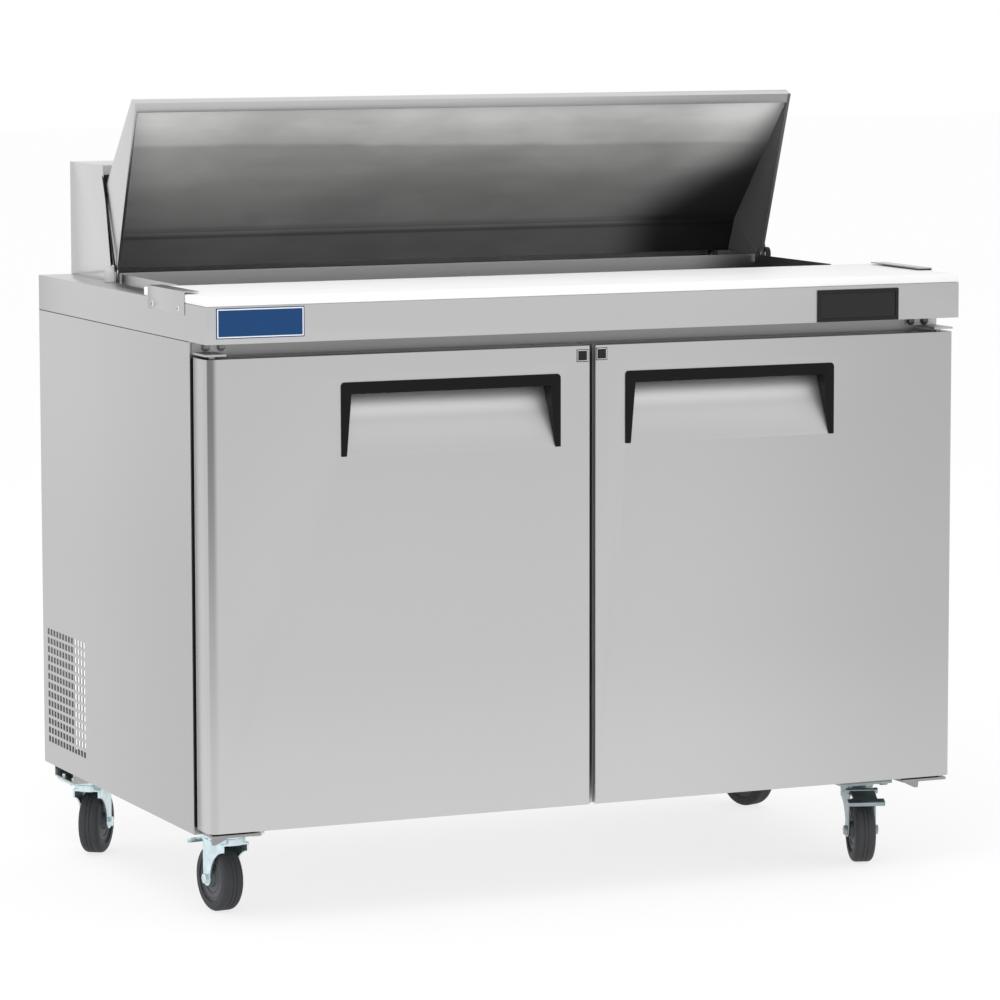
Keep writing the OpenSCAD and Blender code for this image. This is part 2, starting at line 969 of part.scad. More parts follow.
module handle_solid() {
  y0 = door_setback - handle_proud;
  r = handle_corner_r;
  through(y0, door_setback)
    union() {
      translate([handle_x0 + r, handle_z1 - handle_bar_h])
        square([handle_w - 2 * r, handle_bar_h]);
      translate([handle_x0, handle_z1 - handle_bar_h])
        square([handle_w, handle_bar_h - r]);
      for (x = [handle_x0 + r, handle_x1 - r])
        translate([x, handle_z1 - r])
          circle(r);
    }
  both_legs()
    through(y0, door_setback)
      leg_outline(0);
  box(
    [handle_x0 + handle_lap, door_setback, handle_z1 - handle_bar_h],
    [handle_x1 - handle_lap, door_setback + bar_t, pocket_top]
  );
  box(
    [handle_x0 + handle_lap, door_setback, pocket_top - 2],
    [handle_x1 - handle_lap, ramp_y1 - 1, pocket_top]
  );
  intersection() {
    both_legs()
      through(door_setback, ramp_y1)
        wall_outline();
    across_from(handle_x0, handle_x1)
      polygon([
        [door_setback, handle_z0], [ramp_y1 - 1, pocket_top - rest_gap],
        [ramp_y1 - 1, pocket_top], [door_setback, pocket_top]
      ]);
  }
}

module door_handle(right) {
  color(black)
    at_front()
      on_side(!right)
        handle_solid();
}

module left_door_skin() { door_skin(false); }
module left_door_core() { door_core(false); }
module left_door_gasket() { door_gasket(false); }
module left_door_handle() { door_handle(false); }
module right_door_skin() { door_skin(true); }
module right_door_core() { door_core(true); }
module right_door_gasket() { door_gasket(true); }
module right_door_handle() { door_handle(true); }

// ---- Hinges ----

module top_hinge() {
  x0 = hinge_x1 - top_plate_w;
  leg_x0 = hinge_x1 - bolt_in - bolt_spread - bolt_r - 2;
  box([x0, hinge_fore - 6, top_plate_z], [hinge_x1, case_setback, top_plate_z + hinge_plate_t]);
  box(
    [leg_x0, case_setback - hinge_leg_t, top_plate_z + hinge_plate_t],
    [hinge_x1, case_setback, top_plate_z + hinge_plate_t + hinge_leg_h]
  );
  translate([pivot_x, pivot_y, door_z1 - pin_depth])
    cylinder(r = pin_r, h = top_plate_z - door_z1 + pin_depth);
}

module top_hinges() {
  color(steel)
    at_front()
      both_sides()
        top_hinge();
}

module bottom_hinge() {
  x0 = hinge_x1 - foot_plate_w;
  x1 = hinge_x1 - foot_plate_in;
  box([x0, hinge_fore - 6, foot_plate_z], [x1, case_setback, foot_plate_z + foot_plate_t]);
  through(case_setback - hinge_leg_t, case_setback)
    polygon([
      [x0 + 8, foot_plate_z], [x0 + 50, foot_plate_z - hinge_drop],
      [x0 + 56, foot_plate_z - hinge_drop], [x0 + 58, foot_plate_z]
    ]);
  translate([pivot_x, pivot_y, foot_plate_z])
    cylinder(r = pin_r, h = door_z0 - foot_plate_z + pin_depth);
}

module bottom_hinges() {
  color(steel)
    at_front()
      both_sides()
        bottom_hinge();
}

module hinge_bushes() {
  z0 = foot_plate_z + foot_plate_t;
  color(black)
    at_front()
      both_sides()
        translate([pivot_x, pivot_y, z0])
          difference() {
            cylinder(r = bush_r, h = foot_plate_gap - rest_gap);
            translate([0, 0, -past])
              cylinder(r = pin_r, h = foot_plate_gap + 2 * past);
          }
}

// ---- Shelves ----

shelf_z = step_z + 22;
shelf_x0 = 22;
shelf_x1 = cavity_x - 12;
shelf_y0 = frame_back + 18;
shelf_y1 = cavity_back - 26;
shelf_rod_r = 3;
shelf_over = 4.5;
wire_r = 1.6;
wire_count = 22;
weld_gap = 0.05;
post_w = 14;
post_t = 8;
post_z0 = cavity_z0 + 40;
post_z1 = cavity_z1 - 60;
clip_deep = 12;

module shelf() {
  z = shelf_z;
  pitch = (shelf_x1 - shelf_x0) / (wire_count - 1);
  for (x = [shelf_x0, shelf_x1])
    translate([x, 0, z])
      rod_y(shelf_rod_r, shelf_y0 - shelf_over, shelf_y1 + shelf_over);
  for (y = [shelf_y0, (shelf_y0 + shelf_y1) / 2, shelf_y1])
    translate([0, y, z])
      rod_x(shelf_rod_r, shelf_x0 - 1, shelf_x1 + 1);
  for (i = [1 : wire_count - 2])
    translate([shelf_x0 + i * pitch, 0, z + shelf_rod_r + wire_r + weld_gap])
      rod_y(wire_r, shelf_y0 - shelf_rod_r, shelf_y1 + shelf_rod_r);
}

module left_shelf() {
  color(white)
    at_front()
      mirror([1, 0, 0])
        shelf();
}

module right_shelf() {
  color(white)
    at_front()
      shelf();
}

// Post against a side wall with one clip on it, under the shelf
module side_post(y, z0) {
  clip_z = shelf_z - shelf_rod_r;
  box([cavity_x - post_t, y - post_w / 2, z0], [cavity_x, y + post_w / 2, post_z1]);
  box([shelf_x1 - clip_deep, y - post_w / 2, clip_z - 5], [cavity_x - post_t, y + post_w / 2, clip_z]);
}

module shelf_posts() {
  clip_z = shelf_z - shelf_rod_r;
  inner = shelf_x0 + clip_deep;
  low = step_z + 4;
  color(steel)
    at_front()
      both_sides() {
        side_post(shelf_y0 + 30, post_z0);
        side_post(shelf_y1 - 30, low);
        box([post_t / 2, frame_back, post_z0], [post_t / 2 + post_w, frame_back + post_t, post_z1]);
        box(
          [post_t / 2 + post_w / 2, frame_back + post_t, clip_z - 5],
          [inner, shelf_y0 + clip_deep, clip_z]
        );
        box([post_t / 2, cavity_back - post_t, low], [post_t / 2 + post_w, cavity_back, evap_z0 - 10]);
        box(
          [post_t / 2 + post_w / 2, shelf_y1 - clip_deep, clip_z - 5],
          [inner, cavity_back - post_t, clip_z]
        );
      }
}

// ---- Cooling unit in the case ----

evap_x = 255;
evap_z0 = step_z + 90;
evap_z1 = cavity_z1 - 20;
evap_y0 = cavity_back - 78;
evap_mid_z = (evap_z0 + evap_z1) / 2;
evap_fan_r = 68;
evap_ring_r = 78;
fan_shaft_r = 3;
louvre_count = 6;
louvre_pitch = 26;
louvre_h = 8;
louvre_w = 100;
louvre_x = (evap_x + evap_ring_r) / 2;
coil_gap = 3;
evap_coil_in = 25;
evap_coil_rise = 14;
coil_y0 = evap_y0 + 34;
tube_r = 4;
tube_reach = 7;

// Upright fins on a thin core, with the tubes' ends standing out at both sides
module fin_block(lo, hi) {
  fin = 1.4;
  core = 6;
  pitch = 8;
  mid_y = (lo[1] + hi[1]) / 2;
  count = floor((hi[0] - lo[0] - fin) / pitch);
  step = (hi[0] - lo[0] - fin) / count;
  for (i = [0 : count])
    translate([lo[0] + i * step, lo[1], lo[2]])
      cube([fin, hi[1] - lo[1], hi[2] - lo[2]]);
  box([lo[0] + fin / 2, mid_y - core / 2, lo[2] + 1], [hi[0] - fin / 2, mid_y + core / 2, hi[2] - 1]);
  for (z = [lo[2] + 20 : 40 : hi[2] - 10])
    for (y = [lo[1] + 9, hi[1] - 9])
      translate([0, y, z]) {
        rod_x(tube_r, lo[0] - tube_reach, lo[0] + fin / 2);
        rod_x(tube_r, hi[0] - fin / 2, hi[0] + tube_reach);
      }
}

module evaporator_coil() {
  reach = evap_x - evap_coil_in;
  y1 = cavity_back - coil_gap;
  z0 = evap_z0 + evap_coil_rise;
  z1 = evap_z1 - evap_coil_rise;
  color(copper)
    at_front() {
      fin_block([-reach, coil_y0, z0], [reach, y1, z1]);
      for (side = [-1, 1])
        box([side * reach - 12, y1 - past, z0 + 4], [side * reach + 12, cavity_back, z1 - 4]);
    }
}

module evaporator_cover() {
  t = 1;
  color(steel)
    at_front() {
      difference() {
        box([-evap_x, evap_y0, evap_z0], [evap_x, cavity_back, evap_z1]);
        box([-evap_x + t, evap_y0 + t, evap_z0 + t], [evap_x - t, cavity_back + past, evap_z1 - t]);
        translate([0, 0, evap_mid_z])
          rod_y(evap_ring_r, evap_y0 - past, evap_y0 + 2 * t);
        for (side = [-1, 1])
          for (i = [0 : louvre_count - 1])
            translate([
              side * louvre_x - louvre_w / 2,
              evap_y0 - past,
              evap_mid_z + (i - louvre_count / 2) * louvre_pitch
            ])
              cube([louvre_w, 4 * t, louvre_h]);
      }
      motor_bar();
    }
}

// Bar behind the fan that carries its motor and shaft
module motor_bar() {
  x1 = evap_ring_r + 8;
  y0 = evap_y0 + 22;
  translate([0, 0, evap_mid_z]) {
    box([-x1, y0, -8], [x1, y0 + 3, 8]);
    for (side = [-1, 1])
      box([side * x1 - 3, evap_y0, -8], [side * x1 + 3, y0 + 3, 8]);
    rod_y(20, y0, coil_y0 - 2);
    rod_y(fan_shaft_r, evap_y0 + 12, y0 + 1);
  }
}

// Hub and pitched blades of a fan that turns about y, centred on the origin
module fan_blades(r, hub, deep, count) {
  rod_y(hub, -deep / 2, deep / 2);
  for (i = [0 : count - 1])
    rotate([0, i * 360 / count, 0])
      translate([(hub + r) / 2 - 1, 0, 0])
        rotate([28, 0, 0])
          cube([r - hub, 1.5, (r - hub) * 0.62], center = true);
}

module evaporator_fan() {
  color(black)
    at_front()
      translate([0, evap_y0 + 12, evap_mid_z])
        difference() {
          fan_blades(evap_fan_r, 18, 15, 5);
          rod_y(fan_shaft_r + pin_play, -rest_gap, 10);
        }
}

// ---- Machine compartment ----

comp_x = 0.54 * half_w;
comp_y = machine_y + machine_d / 2;

module compressor() {
  foot_z = base_z + 16;
  color([0.12, 0.12, 0.13])
    at_front()
      translate([comp_x, comp_y, 0]) {
        translate([0, 0, foot_z + 14])
          cylinder(r = comp_r, h = comp_h - 40);
        translate([0, 0, foot_z + comp_h - 26])
          rotate_extrude()
            intersection() {
              square([comp_r, 40]);
              translate([0, -38])
                circle(sqrt(comp_r * comp_r + 38 * 38), $fn = 96);
            }
        translate([0, 0, foot_z + 3])
          cylinder(r = comp_r - 10, h = 11);
        box([-88, -58, foot_z], [88, 58, foot_z + 3]);
        box([comp_r - 10, -30, foot_z + 50], [comp_r + 26, 30, foot_z + 100]);
        for (x = [-78, 78])
          for (y = [-48, 48])
            translate([x, y, base_z])
              cylinder(r = 9, h = foot_z - base_z);
      }
}

cond_deep = 44;
shroud_deep = 34;
cond_x1 = -0.05 * half_w;
cond_x0 = cond_x1 - cond_w;
cond_y1 = back_skin_y - 20;
cond_y0 = cond_y1 - cond_deep;
cond_z0 = base_z;
cond_z1 = base_z + cond_h;
cond_mid = [(cond_x0 + cond_x1) / 2, (cond_z0 + cond_z1) / 2];
shroud_y0 = cond_y0 - shroud_deep;
cond_fan_r = 0.4 * cond_h;
cond_hub_r = 20;
cond_fan_deep = 26;
cond_motor_r = 30;
cond_motor_l = 40;

module condenser_coil() {
  color(steel_dark)
    at_front()
      fin_block([cond_x0, cond_y0, cond_z0], [cond_x1, cond_y1, cond_z1]);
}

module fan_shroud() {
  t = 1.2;
  color(black)
    at_front() {
      difference() {
        box([cond_x0, shroud_y0, cond_z0], [cond_x1, cond_y0, cond_z1]);
        box([cond_x0 + t, shroud_y0 + t, cond_z0 + t], [cond_x1 - t, cond_y0 + past, cond_z1 - t]);
        translate([cond_mid[0], 0, cond_mid[1]])
          rod_y(cond_fan_r + 6, shroud_y0 - past, shroud_y0 + 2 * t);
      }
      translate([cond_mid[0], 0, cond_mid[1]])
        rod_y(cond_motor_r, shroud_y0 - 2 - cond_motor_l, shroud_y0 - 2);
      translate([cond_mid[0], 0, cond_mid[1]])
        rod_y(fan_shaft_r, shroud_y0 - 2, shroud_y0 + 9);
      box([cond_x0, shroud_y0 - 4, cond_mid[1] - 9], [cond_x1, shroud_y0, cond_mid[1] + 9]);
    }
}

module condenser_fan() {
  color([0.6, 0.6, 0.62])
    at_front()
      translate([cond_mid[0], shroud_y0 + 14, cond_mid[1]])
        difference() {
          fan_blades(cond_fan_r, cond_hub_r, cond_fan_deep, 4);
          rod_y(fan_shaft_r + pin_play, -14, rest_gap - 5);
        }
}

module drip_pan() {
  x1 = comp_x - comp_r - 44;
  y0 = comp_y - drip_l / 2;
  lo = [x1 - drip_w, y0, base_z];
  hi = [x1, y0 + drip_l, base_z + drip_h];
  color(steel_dark)
    at_front()
      difference() {
        box(lo, hi);
        box(lo + [1.5, 1.5, 1.5], hi + [-1.5, -1.5, past]);
      }
}

inlet_x = half_w - 142;
inlet_z = machine_z + 40;
inlet_w = 48;
inlet_h = 28;

module inlet_cut() {
  box(
    [inlet_x - inlet_w / 2, back_skin_y - past, inlet_z - inlet_h / 2],
    [inlet_x + inlet_w / 2, case_d, inlet_z + inlet_h / 2]
  );
}

// Recessed power inlet in the back skin
module cord_inlet() {
  lip = 1;
  color(black)
    at_front()
      difference() {
        box(
          [inlet_x - inlet_w / 2, back_skin_y, inlet_z - inlet_h / 2],
          [inlet_x + inlet_w / 2, case_d, inlet_z + inlet_h / 2]
        );
        box(
          [inlet_x - inlet_w / 2 + 5, back_skin_y + lip, inlet_z - inlet_h / 2 + 5],
          [inlet_x + inlet_w / 2 - 5, case_d + past, inlet_z + inlet_h / 2 - 5]
        );
      }
}

// ---- Casters ----

// Puts the child at caster i, trailing along its own +x
module at_caster(i) {
  at_front()
    translate([caster_x[i], caster_y[i], 0])
      rotate([0, 0, caster_turns[i]])
        children();
}

module caster_bolt_holes() {
  for (x = [-1, 1])
    for (y = [-1, 1])
      translate([x * (caster_plate_l / 2 - 10), y * (caster_plate_w / 2 - 10), 0])
        cylinder(r = caster_bolt_r + pin_play, h = 40, center = true);
}

// Fixed plates with their upper races, king pins and bolts
module caster_plates() {
  bolt_top = 6;
  color(zinc)
    at_front()
      for (i = [0 : 3])
        translate([caster_x[i], caster_y[i], 0]) {
          box(
            [-caster_plate_l / 2, -caster_plate_w / 2, mount_z - caster_plate_t],
            [caster_plate_l / 2, caster_plate_w / 2, mount_z]
          );
          translate([0, 0, race_z])
            cylinder(r = race_r, h = race_t);
          translate([0, 0, crown_z - rest_gap])
            cylinder(r = kingpin_r, h = race_z - crown_z + rest_gap);
          translate([0, 0, crown_z - rest_gap - kingpin_head_t])
            cylinder(r = kingpin_head_r, h = kingpin_head_t);
          for (x = [-1, 1])
            for (y = [-1, 1])
              translate([x * (caster_plate_l / 2 - 10), y * (caster_plate_w / 2 - 10), 0]) {
                translate([0, 0, mount_z])
                  cylinder(r = caster_bolt_r, h = bolt_top);
                translate([0, 0, mount_z - caster_plate_t - 3])
                  cylinder(r = 7, h = 3);
              }
        }
}

// Side view of a fork leg: x along the trail, y up
module fork_leg_outline() {
  top = crown_z + crown_t;
  difference() {
    polygon([
      [-fork_nose, wheel_r], [-fork_nose, top],
      [trail + fork_tail, top], [trail + fork_foot_r, wheel_r]
    ]);
    translate([-fork_nose - 6, wheel_r - 2])
      circle(fork_curve_r);
  }
  translate([trail, wheel_r])
    circle(fork_foot_r);
}

module caster_fork(i, braked) {
  top = crown_z + crown_t;
  color(zinc)
    at_caster(i) {
      difference() {
        union() {
          box([-fork_nose, -fork_gap - fork_t, crown_z], [trail + fork_tail, fork_gap + fork_t, top]);
          translate([0, 0, crown_z])
            cylinder(r = race_r + 1, h = race_z - rest_gap - crown_z);
        }
        translate([0, 0, crown_z - past])
          cylinder(r = kingpin_r + pin_play, h = 40);
      }
      for (y = [-fork_gap - fork_t, fork_gap])
        through(y, y + fork_t)
          fork_leg_outline();
      translate([trail, 0, wheel_r]) {
        rod_y(axle_r, -fork_gap, fork_gap);
        for (side = [0, 180])
          rotate([0, 0, side])
            rod_y(axle_head_r, fork_gap + fork_t, fork_gap + fork_t + axle_head_t, 6);
      }
      if (braked)
        for (y = [-pedal_w / 2 - 4, pedal_w / 2 - 1])
          translate([pedal_x, y, 0])
            difference() {
              union() {
                box([-4, 0, top], [4, 5, pedal_z]);
                translate([0, 0, pedal_z])
                  rod_y(4, 0, 5);
              }
              translate([0, 0, pedal_z])
                rod_y(pedal_pin_r + pin_play, -past, 5 + past);
            }
    }
}

module caster_wheel(i) {
  hub_w = tyre_w - 4;
  boss_w = 2 * fork_gap - 1;
  color([0.45, 0.46, 0.48])
    at_caster(i)
      translate([trail, 0, wheel_r])
        difference() {
          union() {
            rod_y(hub_r, -hub_w / 2, hub_w / 2);
            rod_y(12, -boss_w / 2, boss_w / 2);
          }
          rod_y(axle_r + pin_play, -tyre_w, tyre_w);
          for (side = [0, 180])
            rotate([0, 0, side])
              difference() {
                rod_y(hub_r - 6, 6, tyre_w);
                rod_y(14, 0, 2 * tyre_w);
              }
        }
}

module caster_tyre(i) {
  r = 7;
  inner = hub_r + rest_gap;
  color([0.2, 0.2, 0.21])
    at_caster(i)
      translate([trail, 0, wheel_r])
        rotate([90, 0, 0])
          rotate_extrude($fn = 96)
            union() {
              translate([inner, -tyre_w / 2])
                square([wheel_r - inner - r, tyre_w]);
              translate([inner, -tyre_w / 2 + r])
                square([wheel_r - inner, tyre_w - 2 * r]);
              for (y = [-tyre_w / 2 + r, tyre_w / 2 - r])
                translate([wheel_r - r, y])
                  circle(r);
            }
}

// Foot pedal that locks a front caster
module brake_pedal(i) {
  color(zinc)
    at_caster(i)
      translate([pedal_x, 0, pedal_z]) {
        rod_y(pedal_barrel_r, -pedal_w / 2 + 1 + rest_gap, pedal_w / 2 - 1 - rest_gap);
        rod_y(pedal_pin_r, -pedal_w / 2 - 4, pedal_w / 2 + 4);
        rotate([0, pedal_tilt, 0]) {
          box([0, -pedal_w / 2 + 2, -pedal_t / 2], [pedal_l, pedal_w / 2 - 2, pedal_t / 2]);
          box(
            [pedal_l - pedal_end_l, -pedal_end_w / 2, -pedal_t / 2],
            [pedal_l, pedal_end_w / 2, pedal_t / 2]
          );
          box([pedal_l - pedal_t, -pedal_end_w / 2, -pedal_lip], [pedal_l, pedal_end_w / 2, pedal_t / 2]);
        }
      }
}

module caster_fork_1() { caster_fork(0, true); }
module caster_fork_2() { caster_fork(1, true); }
module caster_fork_3() { caster_fork(2, false); }
module caster_fork_4() { caster_fork(3, false); }
module caster_wheel_1() { caster_wheel(0); }
module caster_wheel_2() { caster_wheel(1); }
module caster_wheel_3() { caster_wheel(2); }
module caster_wheel_4() { caster_wheel(3); }
module caster_tyre_1() { caster_tyre(0); }
module caster_tyre_2() { caster_tyre(1); }
module caster_tyre_3() { caster_tyre(2); }
module caster_tyre_4() { caster_tyre(3); }
module brake_pedal_1() { brake_pedal(0); }
module brake_pedal_2() { brake_pedal(1); }

left_side_panel();
right_side_panel();
back_panel();
base_pan();
base_rails();
front_frame();
insulation();
inner_liner();
worktop();
worktop_core();
pan_well();
hood();
pivot_caps();
board_clips();
small_bolts();
controller_bezel();
controller_window();
name_plate();
top_hinges();
bottom_hinges();
hinge_bushes();
left_shelf();
right_shelf();
shelf_posts();
evaporator_coil();
evaporator_cover();
evaporator_fan();
compressor();
condenser_coil();
fan_shroud();
condenser_fan();
drip_pan();
cord_inlet();
cutting_board();
lid_shell();
lid_panel();
lid_pins();
left_door_skin();
left_door_core();
left_door_gasket();
left_door_handle();
right_door_skin();
right_door_core();
right_door_gasket();
right_door_handle();
caster_plates();
caster_fork_1();
caster_fork_2();
caster_fork_3();
caster_fork_4();
caster_wheel_1();
caster_wheel_2();
caster_wheel_3();
caster_wheel_4();
caster_tyre_1();
caster_tyre_2();
caster_tyre_3();
caster_tyre_4();
brake_pedal_1();
brake_pedal_2();
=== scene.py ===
import json
import math

import bpy
from bpy.props import FloatProperty, FloatVectorProperty, IntProperty, PointerProperty
from mathutils import Matrix, Vector
from mathutils.bvhtree import BVHTree


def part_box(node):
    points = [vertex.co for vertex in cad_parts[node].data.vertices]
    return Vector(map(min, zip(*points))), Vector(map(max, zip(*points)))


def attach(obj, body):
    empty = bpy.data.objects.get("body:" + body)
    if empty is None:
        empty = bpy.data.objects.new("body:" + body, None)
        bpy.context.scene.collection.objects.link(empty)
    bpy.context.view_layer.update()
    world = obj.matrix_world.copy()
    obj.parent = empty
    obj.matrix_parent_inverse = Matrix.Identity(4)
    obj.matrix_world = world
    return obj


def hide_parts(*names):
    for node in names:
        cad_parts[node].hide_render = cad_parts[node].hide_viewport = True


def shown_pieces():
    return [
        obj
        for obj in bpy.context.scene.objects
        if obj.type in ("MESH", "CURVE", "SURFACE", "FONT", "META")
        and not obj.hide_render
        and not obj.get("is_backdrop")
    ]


bl_info = {
    "name": "Sandwich prep table",
    "version": (1, 0, 0),
    "blender": (4, 5, 0),
    "location": "View3D > Sidebar > Prep Table",
    "description": "Dresses the packed prep table with its finishes, fittings and stage",
    "category": "Object",
}

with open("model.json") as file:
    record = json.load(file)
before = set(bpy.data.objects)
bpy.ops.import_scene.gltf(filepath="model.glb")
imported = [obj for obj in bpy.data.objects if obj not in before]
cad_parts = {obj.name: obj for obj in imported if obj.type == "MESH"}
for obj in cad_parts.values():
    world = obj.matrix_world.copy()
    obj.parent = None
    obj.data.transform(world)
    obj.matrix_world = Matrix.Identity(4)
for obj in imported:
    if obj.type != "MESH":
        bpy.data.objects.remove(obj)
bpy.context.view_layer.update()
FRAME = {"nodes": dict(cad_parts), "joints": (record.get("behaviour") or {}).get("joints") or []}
NODES = FRAME["nodes"]

W, H = 1000, 1000
LENS = 167.95
SENSOR = 36.0
CAMERA_PLACE = Vector((-2.897574, -6.614080, 1.411610))
CAMERA_YAW = 0.414390815
CAMERA_PITCH = -0.116256797
CAMERA_ROLL = -0.00177117

# Where things stand in the photograph, in its pixels.
POINTS = {
    "left_edge": (40.4, 285.0),
    "right_edge": (959.3, 279.0),
    "top_edge": (785.5, 88.9),
    "bottom_edge": (218.0, 910.5),
    "slab_corner_left": (206.4, 308.5),
    "slab_corner_right": (958.3, 317.5),
    "left_door_bottom": (208.0, 835.0),
    "right_door_bottom": (950.3, 774.3),
    "left_handle_corner": (340.5, 383.0),
    "right_handle_corner": (833.5, 364.0),
    "name_plate_corner": (215.8, 308.2),
    "controller_corner": (898.0, 319.5),
    "lid_corner_left": (131.6, 99.5),
    "lid_corner_right": (791.8, 92.8),
    "hood_corner": (72.1, 161.5),
    "front_right_tyre": (861.0, 863.8),
    "rear_left_tyre": (96.0, 851.5),
    "left_tag": (582.4, 355.6),
    "right_tag": (601.5, 353.7),
}

# The piece each point belongs to, and the way its corner points in the image.
CORNERS = {
    "left_edge": (None, (-1, 0)),
    "right_edge": (None, (1, 0)),
    "top_edge": (None, (0, -1)),
    "bottom_edge": ("tyre_front_left", (0, 1)),
    "slab_corner_left": ("worktop_slab", None),
    "slab_corner_right": ("worktop_slab", (1, 1)),
    "left_door_bottom": ("left_door_face", (-0.4, 1)),
    "right_door_bottom": ("right_door_face", (1, 0.6)),
    "left_handle_corner": ("left_handle", (-1, -1)),
    "right_handle_corner": ("right_handle", (1, -1)),
    "name_plate_corner": ("name_plate", (-1, -1)),
    "controller_corner": ("controller_bezel", (1, 1)),
    "lid_corner_left": ("lid_skin", (-1, -1)),
    "lid_corner_right": ("lid_skin", (1, -0.6)),
    "hood_corner": ("hood_skin", (-1, -1)),
    "front_right_tyre": ("tyre_front_right", (0, 1)),
    "rear_left_tyre": ("tyre_rear_left", (0, 1)),
    "left_tag": ("left_tag", None),
    "right_tag": ("right_tag", None),
}

CASTERS = ("front_left", "front_right", "rear_left", "rear_right")


def mm(value):
    """A length given in millimetres, in metres."""
    return value / 1000.0


# Fineness of the steel's grain, and depth of a bump that only the light shows.
GRAIN_SCALE = 900.0
FINE_BUMP = mm(0.2)


# ---- Shader maths ----


def feed(tree, slot, value):
    """Links a socket to a node's input, or sets the input to a number or a colour."""
    if isinstance(value, Socket):
        tree.links.new(value.socket, slot)
    elif slot.type == "RGBA":
        slot.default_value = (*value, 1.0)
    else:
        slot.default_value = value


class Socket:
    """Wraps one shader socket, so that maths on it reads as plain Python."""

    def __init__(self, tree, socket):
        self.tree = tree
        self.socket = socket

    def _math(self, operation, *values, clamp=False):
        node = self.tree.nodes.new("ShaderNodeMath")
        node.operation = operation
        node.use_clamp = clamp
        for slot, value in zip(node.inputs, values):
            feed(self.tree, slot, value)
        return Socket(self.tree, node.outputs[0])

    def __add__(self, other):
        return self._math("ADD", self, other)

    def __sub__(self, other):
        return self._math("SUBTRACT", self, other)

    def __rsub__(self, other):
        return self._math("SUBTRACT", other, self)

    def __mul__(self, other):
        return self._math("MULTIPLY", self, other)

    def clamped(self):
        return self._math("ADD", self, 0.0, clamp=True)

    def span(self, low, high, to_low=0.0, to_high=1.0):
        """Maps low..high smoothly onto to_low..to_high."""
        node = self.tree.nodes.new("ShaderNodeMapRange")
        node.interpolation_type = "SMOOTHSTEP"
        limits = {"From Min": low, "From Max": high, "To Min": to_low, "To Max": to_high}
        for name, value in limits.items():
            node.inputs[name].default_value = value
        self.tree.links.new(self.socket, node.inputs["Value"])
        return Socket(self.tree, node.outputs["Result"])


FINISHES = {}


class Finish:
    """A material in the making, with one Principled shader, kept in FINISHES by its name."""

    def __init__(self, name):
        self.material = bpy.data.materials.new(name)
        FINISHES[name] = self.material
        self.material.use_nodes = True
        self.tree = self.material.node_tree
        self.shader = self.tree.nodes["Principled BSDF"]

    def node(self, kind, out=0, **values):
        """Adds a shader node with its inputs fed, and gives one of its outputs."""
        made = self.tree.nodes.new(kind)
        for key, value in values.items():
            feed(self.tree, made.inputs[key.replace("_", " ")], value)
        return Socket(self.tree, made.outputs[out])

    def place(self, scale=(1.0, 1.0, 1.0)):
        coords = self.node("ShaderNodeTexCoord", out=3)
        return self.node("ShaderNodeMapping", Vector=coords, Scale=scale)

    def noise(self, scale, detail=2.0, roughness=0.5, stretch=(1.0, 1.0, 1.0)):
        place = self.place(stretch)
        kind = "ShaderNodeTexNoise"
        return self.node(kind, Vector=place, Scale=scale, Detail=detail, Roughness=roughness)

    def along(self, axis):
        split = self.tree.nodes.new("ShaderNodeSeparateXYZ")
        coords = self.node("ShaderNodeTexCoord", out=3)
        self.tree.links.new(coords.socket, split.inputs[0])
        return Socket(self.tree, split.outputs["XYZ".index(axis)])

    def blend(self, factor, low, high):
        """Mixes two colours by a factor."""
        mix = self.tree.nodes.new("ShaderNodeMix")
        mix.data_type = "RGBA"
        for slot, value in ((0, factor), (6, low), (7, high)):
            feed(self.tree, mix.inputs[slot], value)
        return Socket(self.tree, mix.outputs[2])

    def scaled(self, colour, factor):
        """Multiplies a colour socket by a number socket."""
        made = self.tree.nodes.new("ShaderNodeVectorMath")
        made.operation = "SCALE"
        feed(self.tree, made.inputs[0], colour)
        feed(self.tree, made.inputs["Scale"], factor)
        return Socket(self.tree, made.outputs[0])

    def set(self, **values):
        """Feeds the shader's own inputs."""
        for key, value in values.items():
            feed(self.tree, self.shader.inputs[key.replace("_", " ")], value)

    def bump(self, height, strength, distance):
        made = self.node("ShaderNodeBump", Height=height, Strength=strength, Distance=distance)
        self.tree.links.new(made.socket, self.shader.inputs["Normal"])


def tinted(colour, factor):
    """A colour made darker or paler."""
    return tuple(max(0.0, c * factor) for c in colour)


def brushed(name, colour, rough, grain, fades=(), band=None):
    """Brushed sheet steel whose grain runs along one axis.

    Each fade is an axis, two places on it and the tone at each of them; fades
    paint light and shade into the colour. A band is the start and end of a darker
    upright stripe, a painted reflection, then the heights between which it deepens.
    """
    smear = 0.03
    grain_length, mark_length = 0.02, 0.12
    fin = Finish(name)
    lines = fin.noise(GRAIN_SCALE, 3.0, 0.6, [grain_length if a == grain else 1.0 for a in "XYZ"])
    cloud = fin.noise(2.2, 3.0, 0.55)
    marks = fin.noise(38.0, 4.0, 0.6, [mark_length if a == grain else 1.0 for a in "XYZ"])
    shade = (lines * 0.4 + cloud * 0.45 + marks * 0.15).clamped()
    tone = fin.blend(shade, tinted(colour, 1 - smear), tinted(colour, 1 + smear))
    # Painted light and shade along each fade's axis.
    for axis, low, high, low_tone, high_tone in fades:
        tone = fin.scaled(tone, fin.along(axis).span(low, high, low_tone, high_tone))
    # Painted reflection: a dark upright stripe that deepens with height.
    if band:
        start, end, low, high = band
        across = fin.along("X")
        sharp_side, soft_side = mm(1.5), mm(9)
        stripe = across.span(start, start + sharp_side) - across.span(end - soft_side, end)
        weight = fin.along("Z").span(low, high, 0.1, 0.62)
        tone = fin.scaled(tone, 1.0 - stripe * weight)
    fin.set(Base_Color=tone, Metallic=1.0, Roughness=lines * 0.07 + cloud * 0.06 + (rough - 0.065))
    fin.bump(lines * 0.35, 0.25, FINE_BUMP)


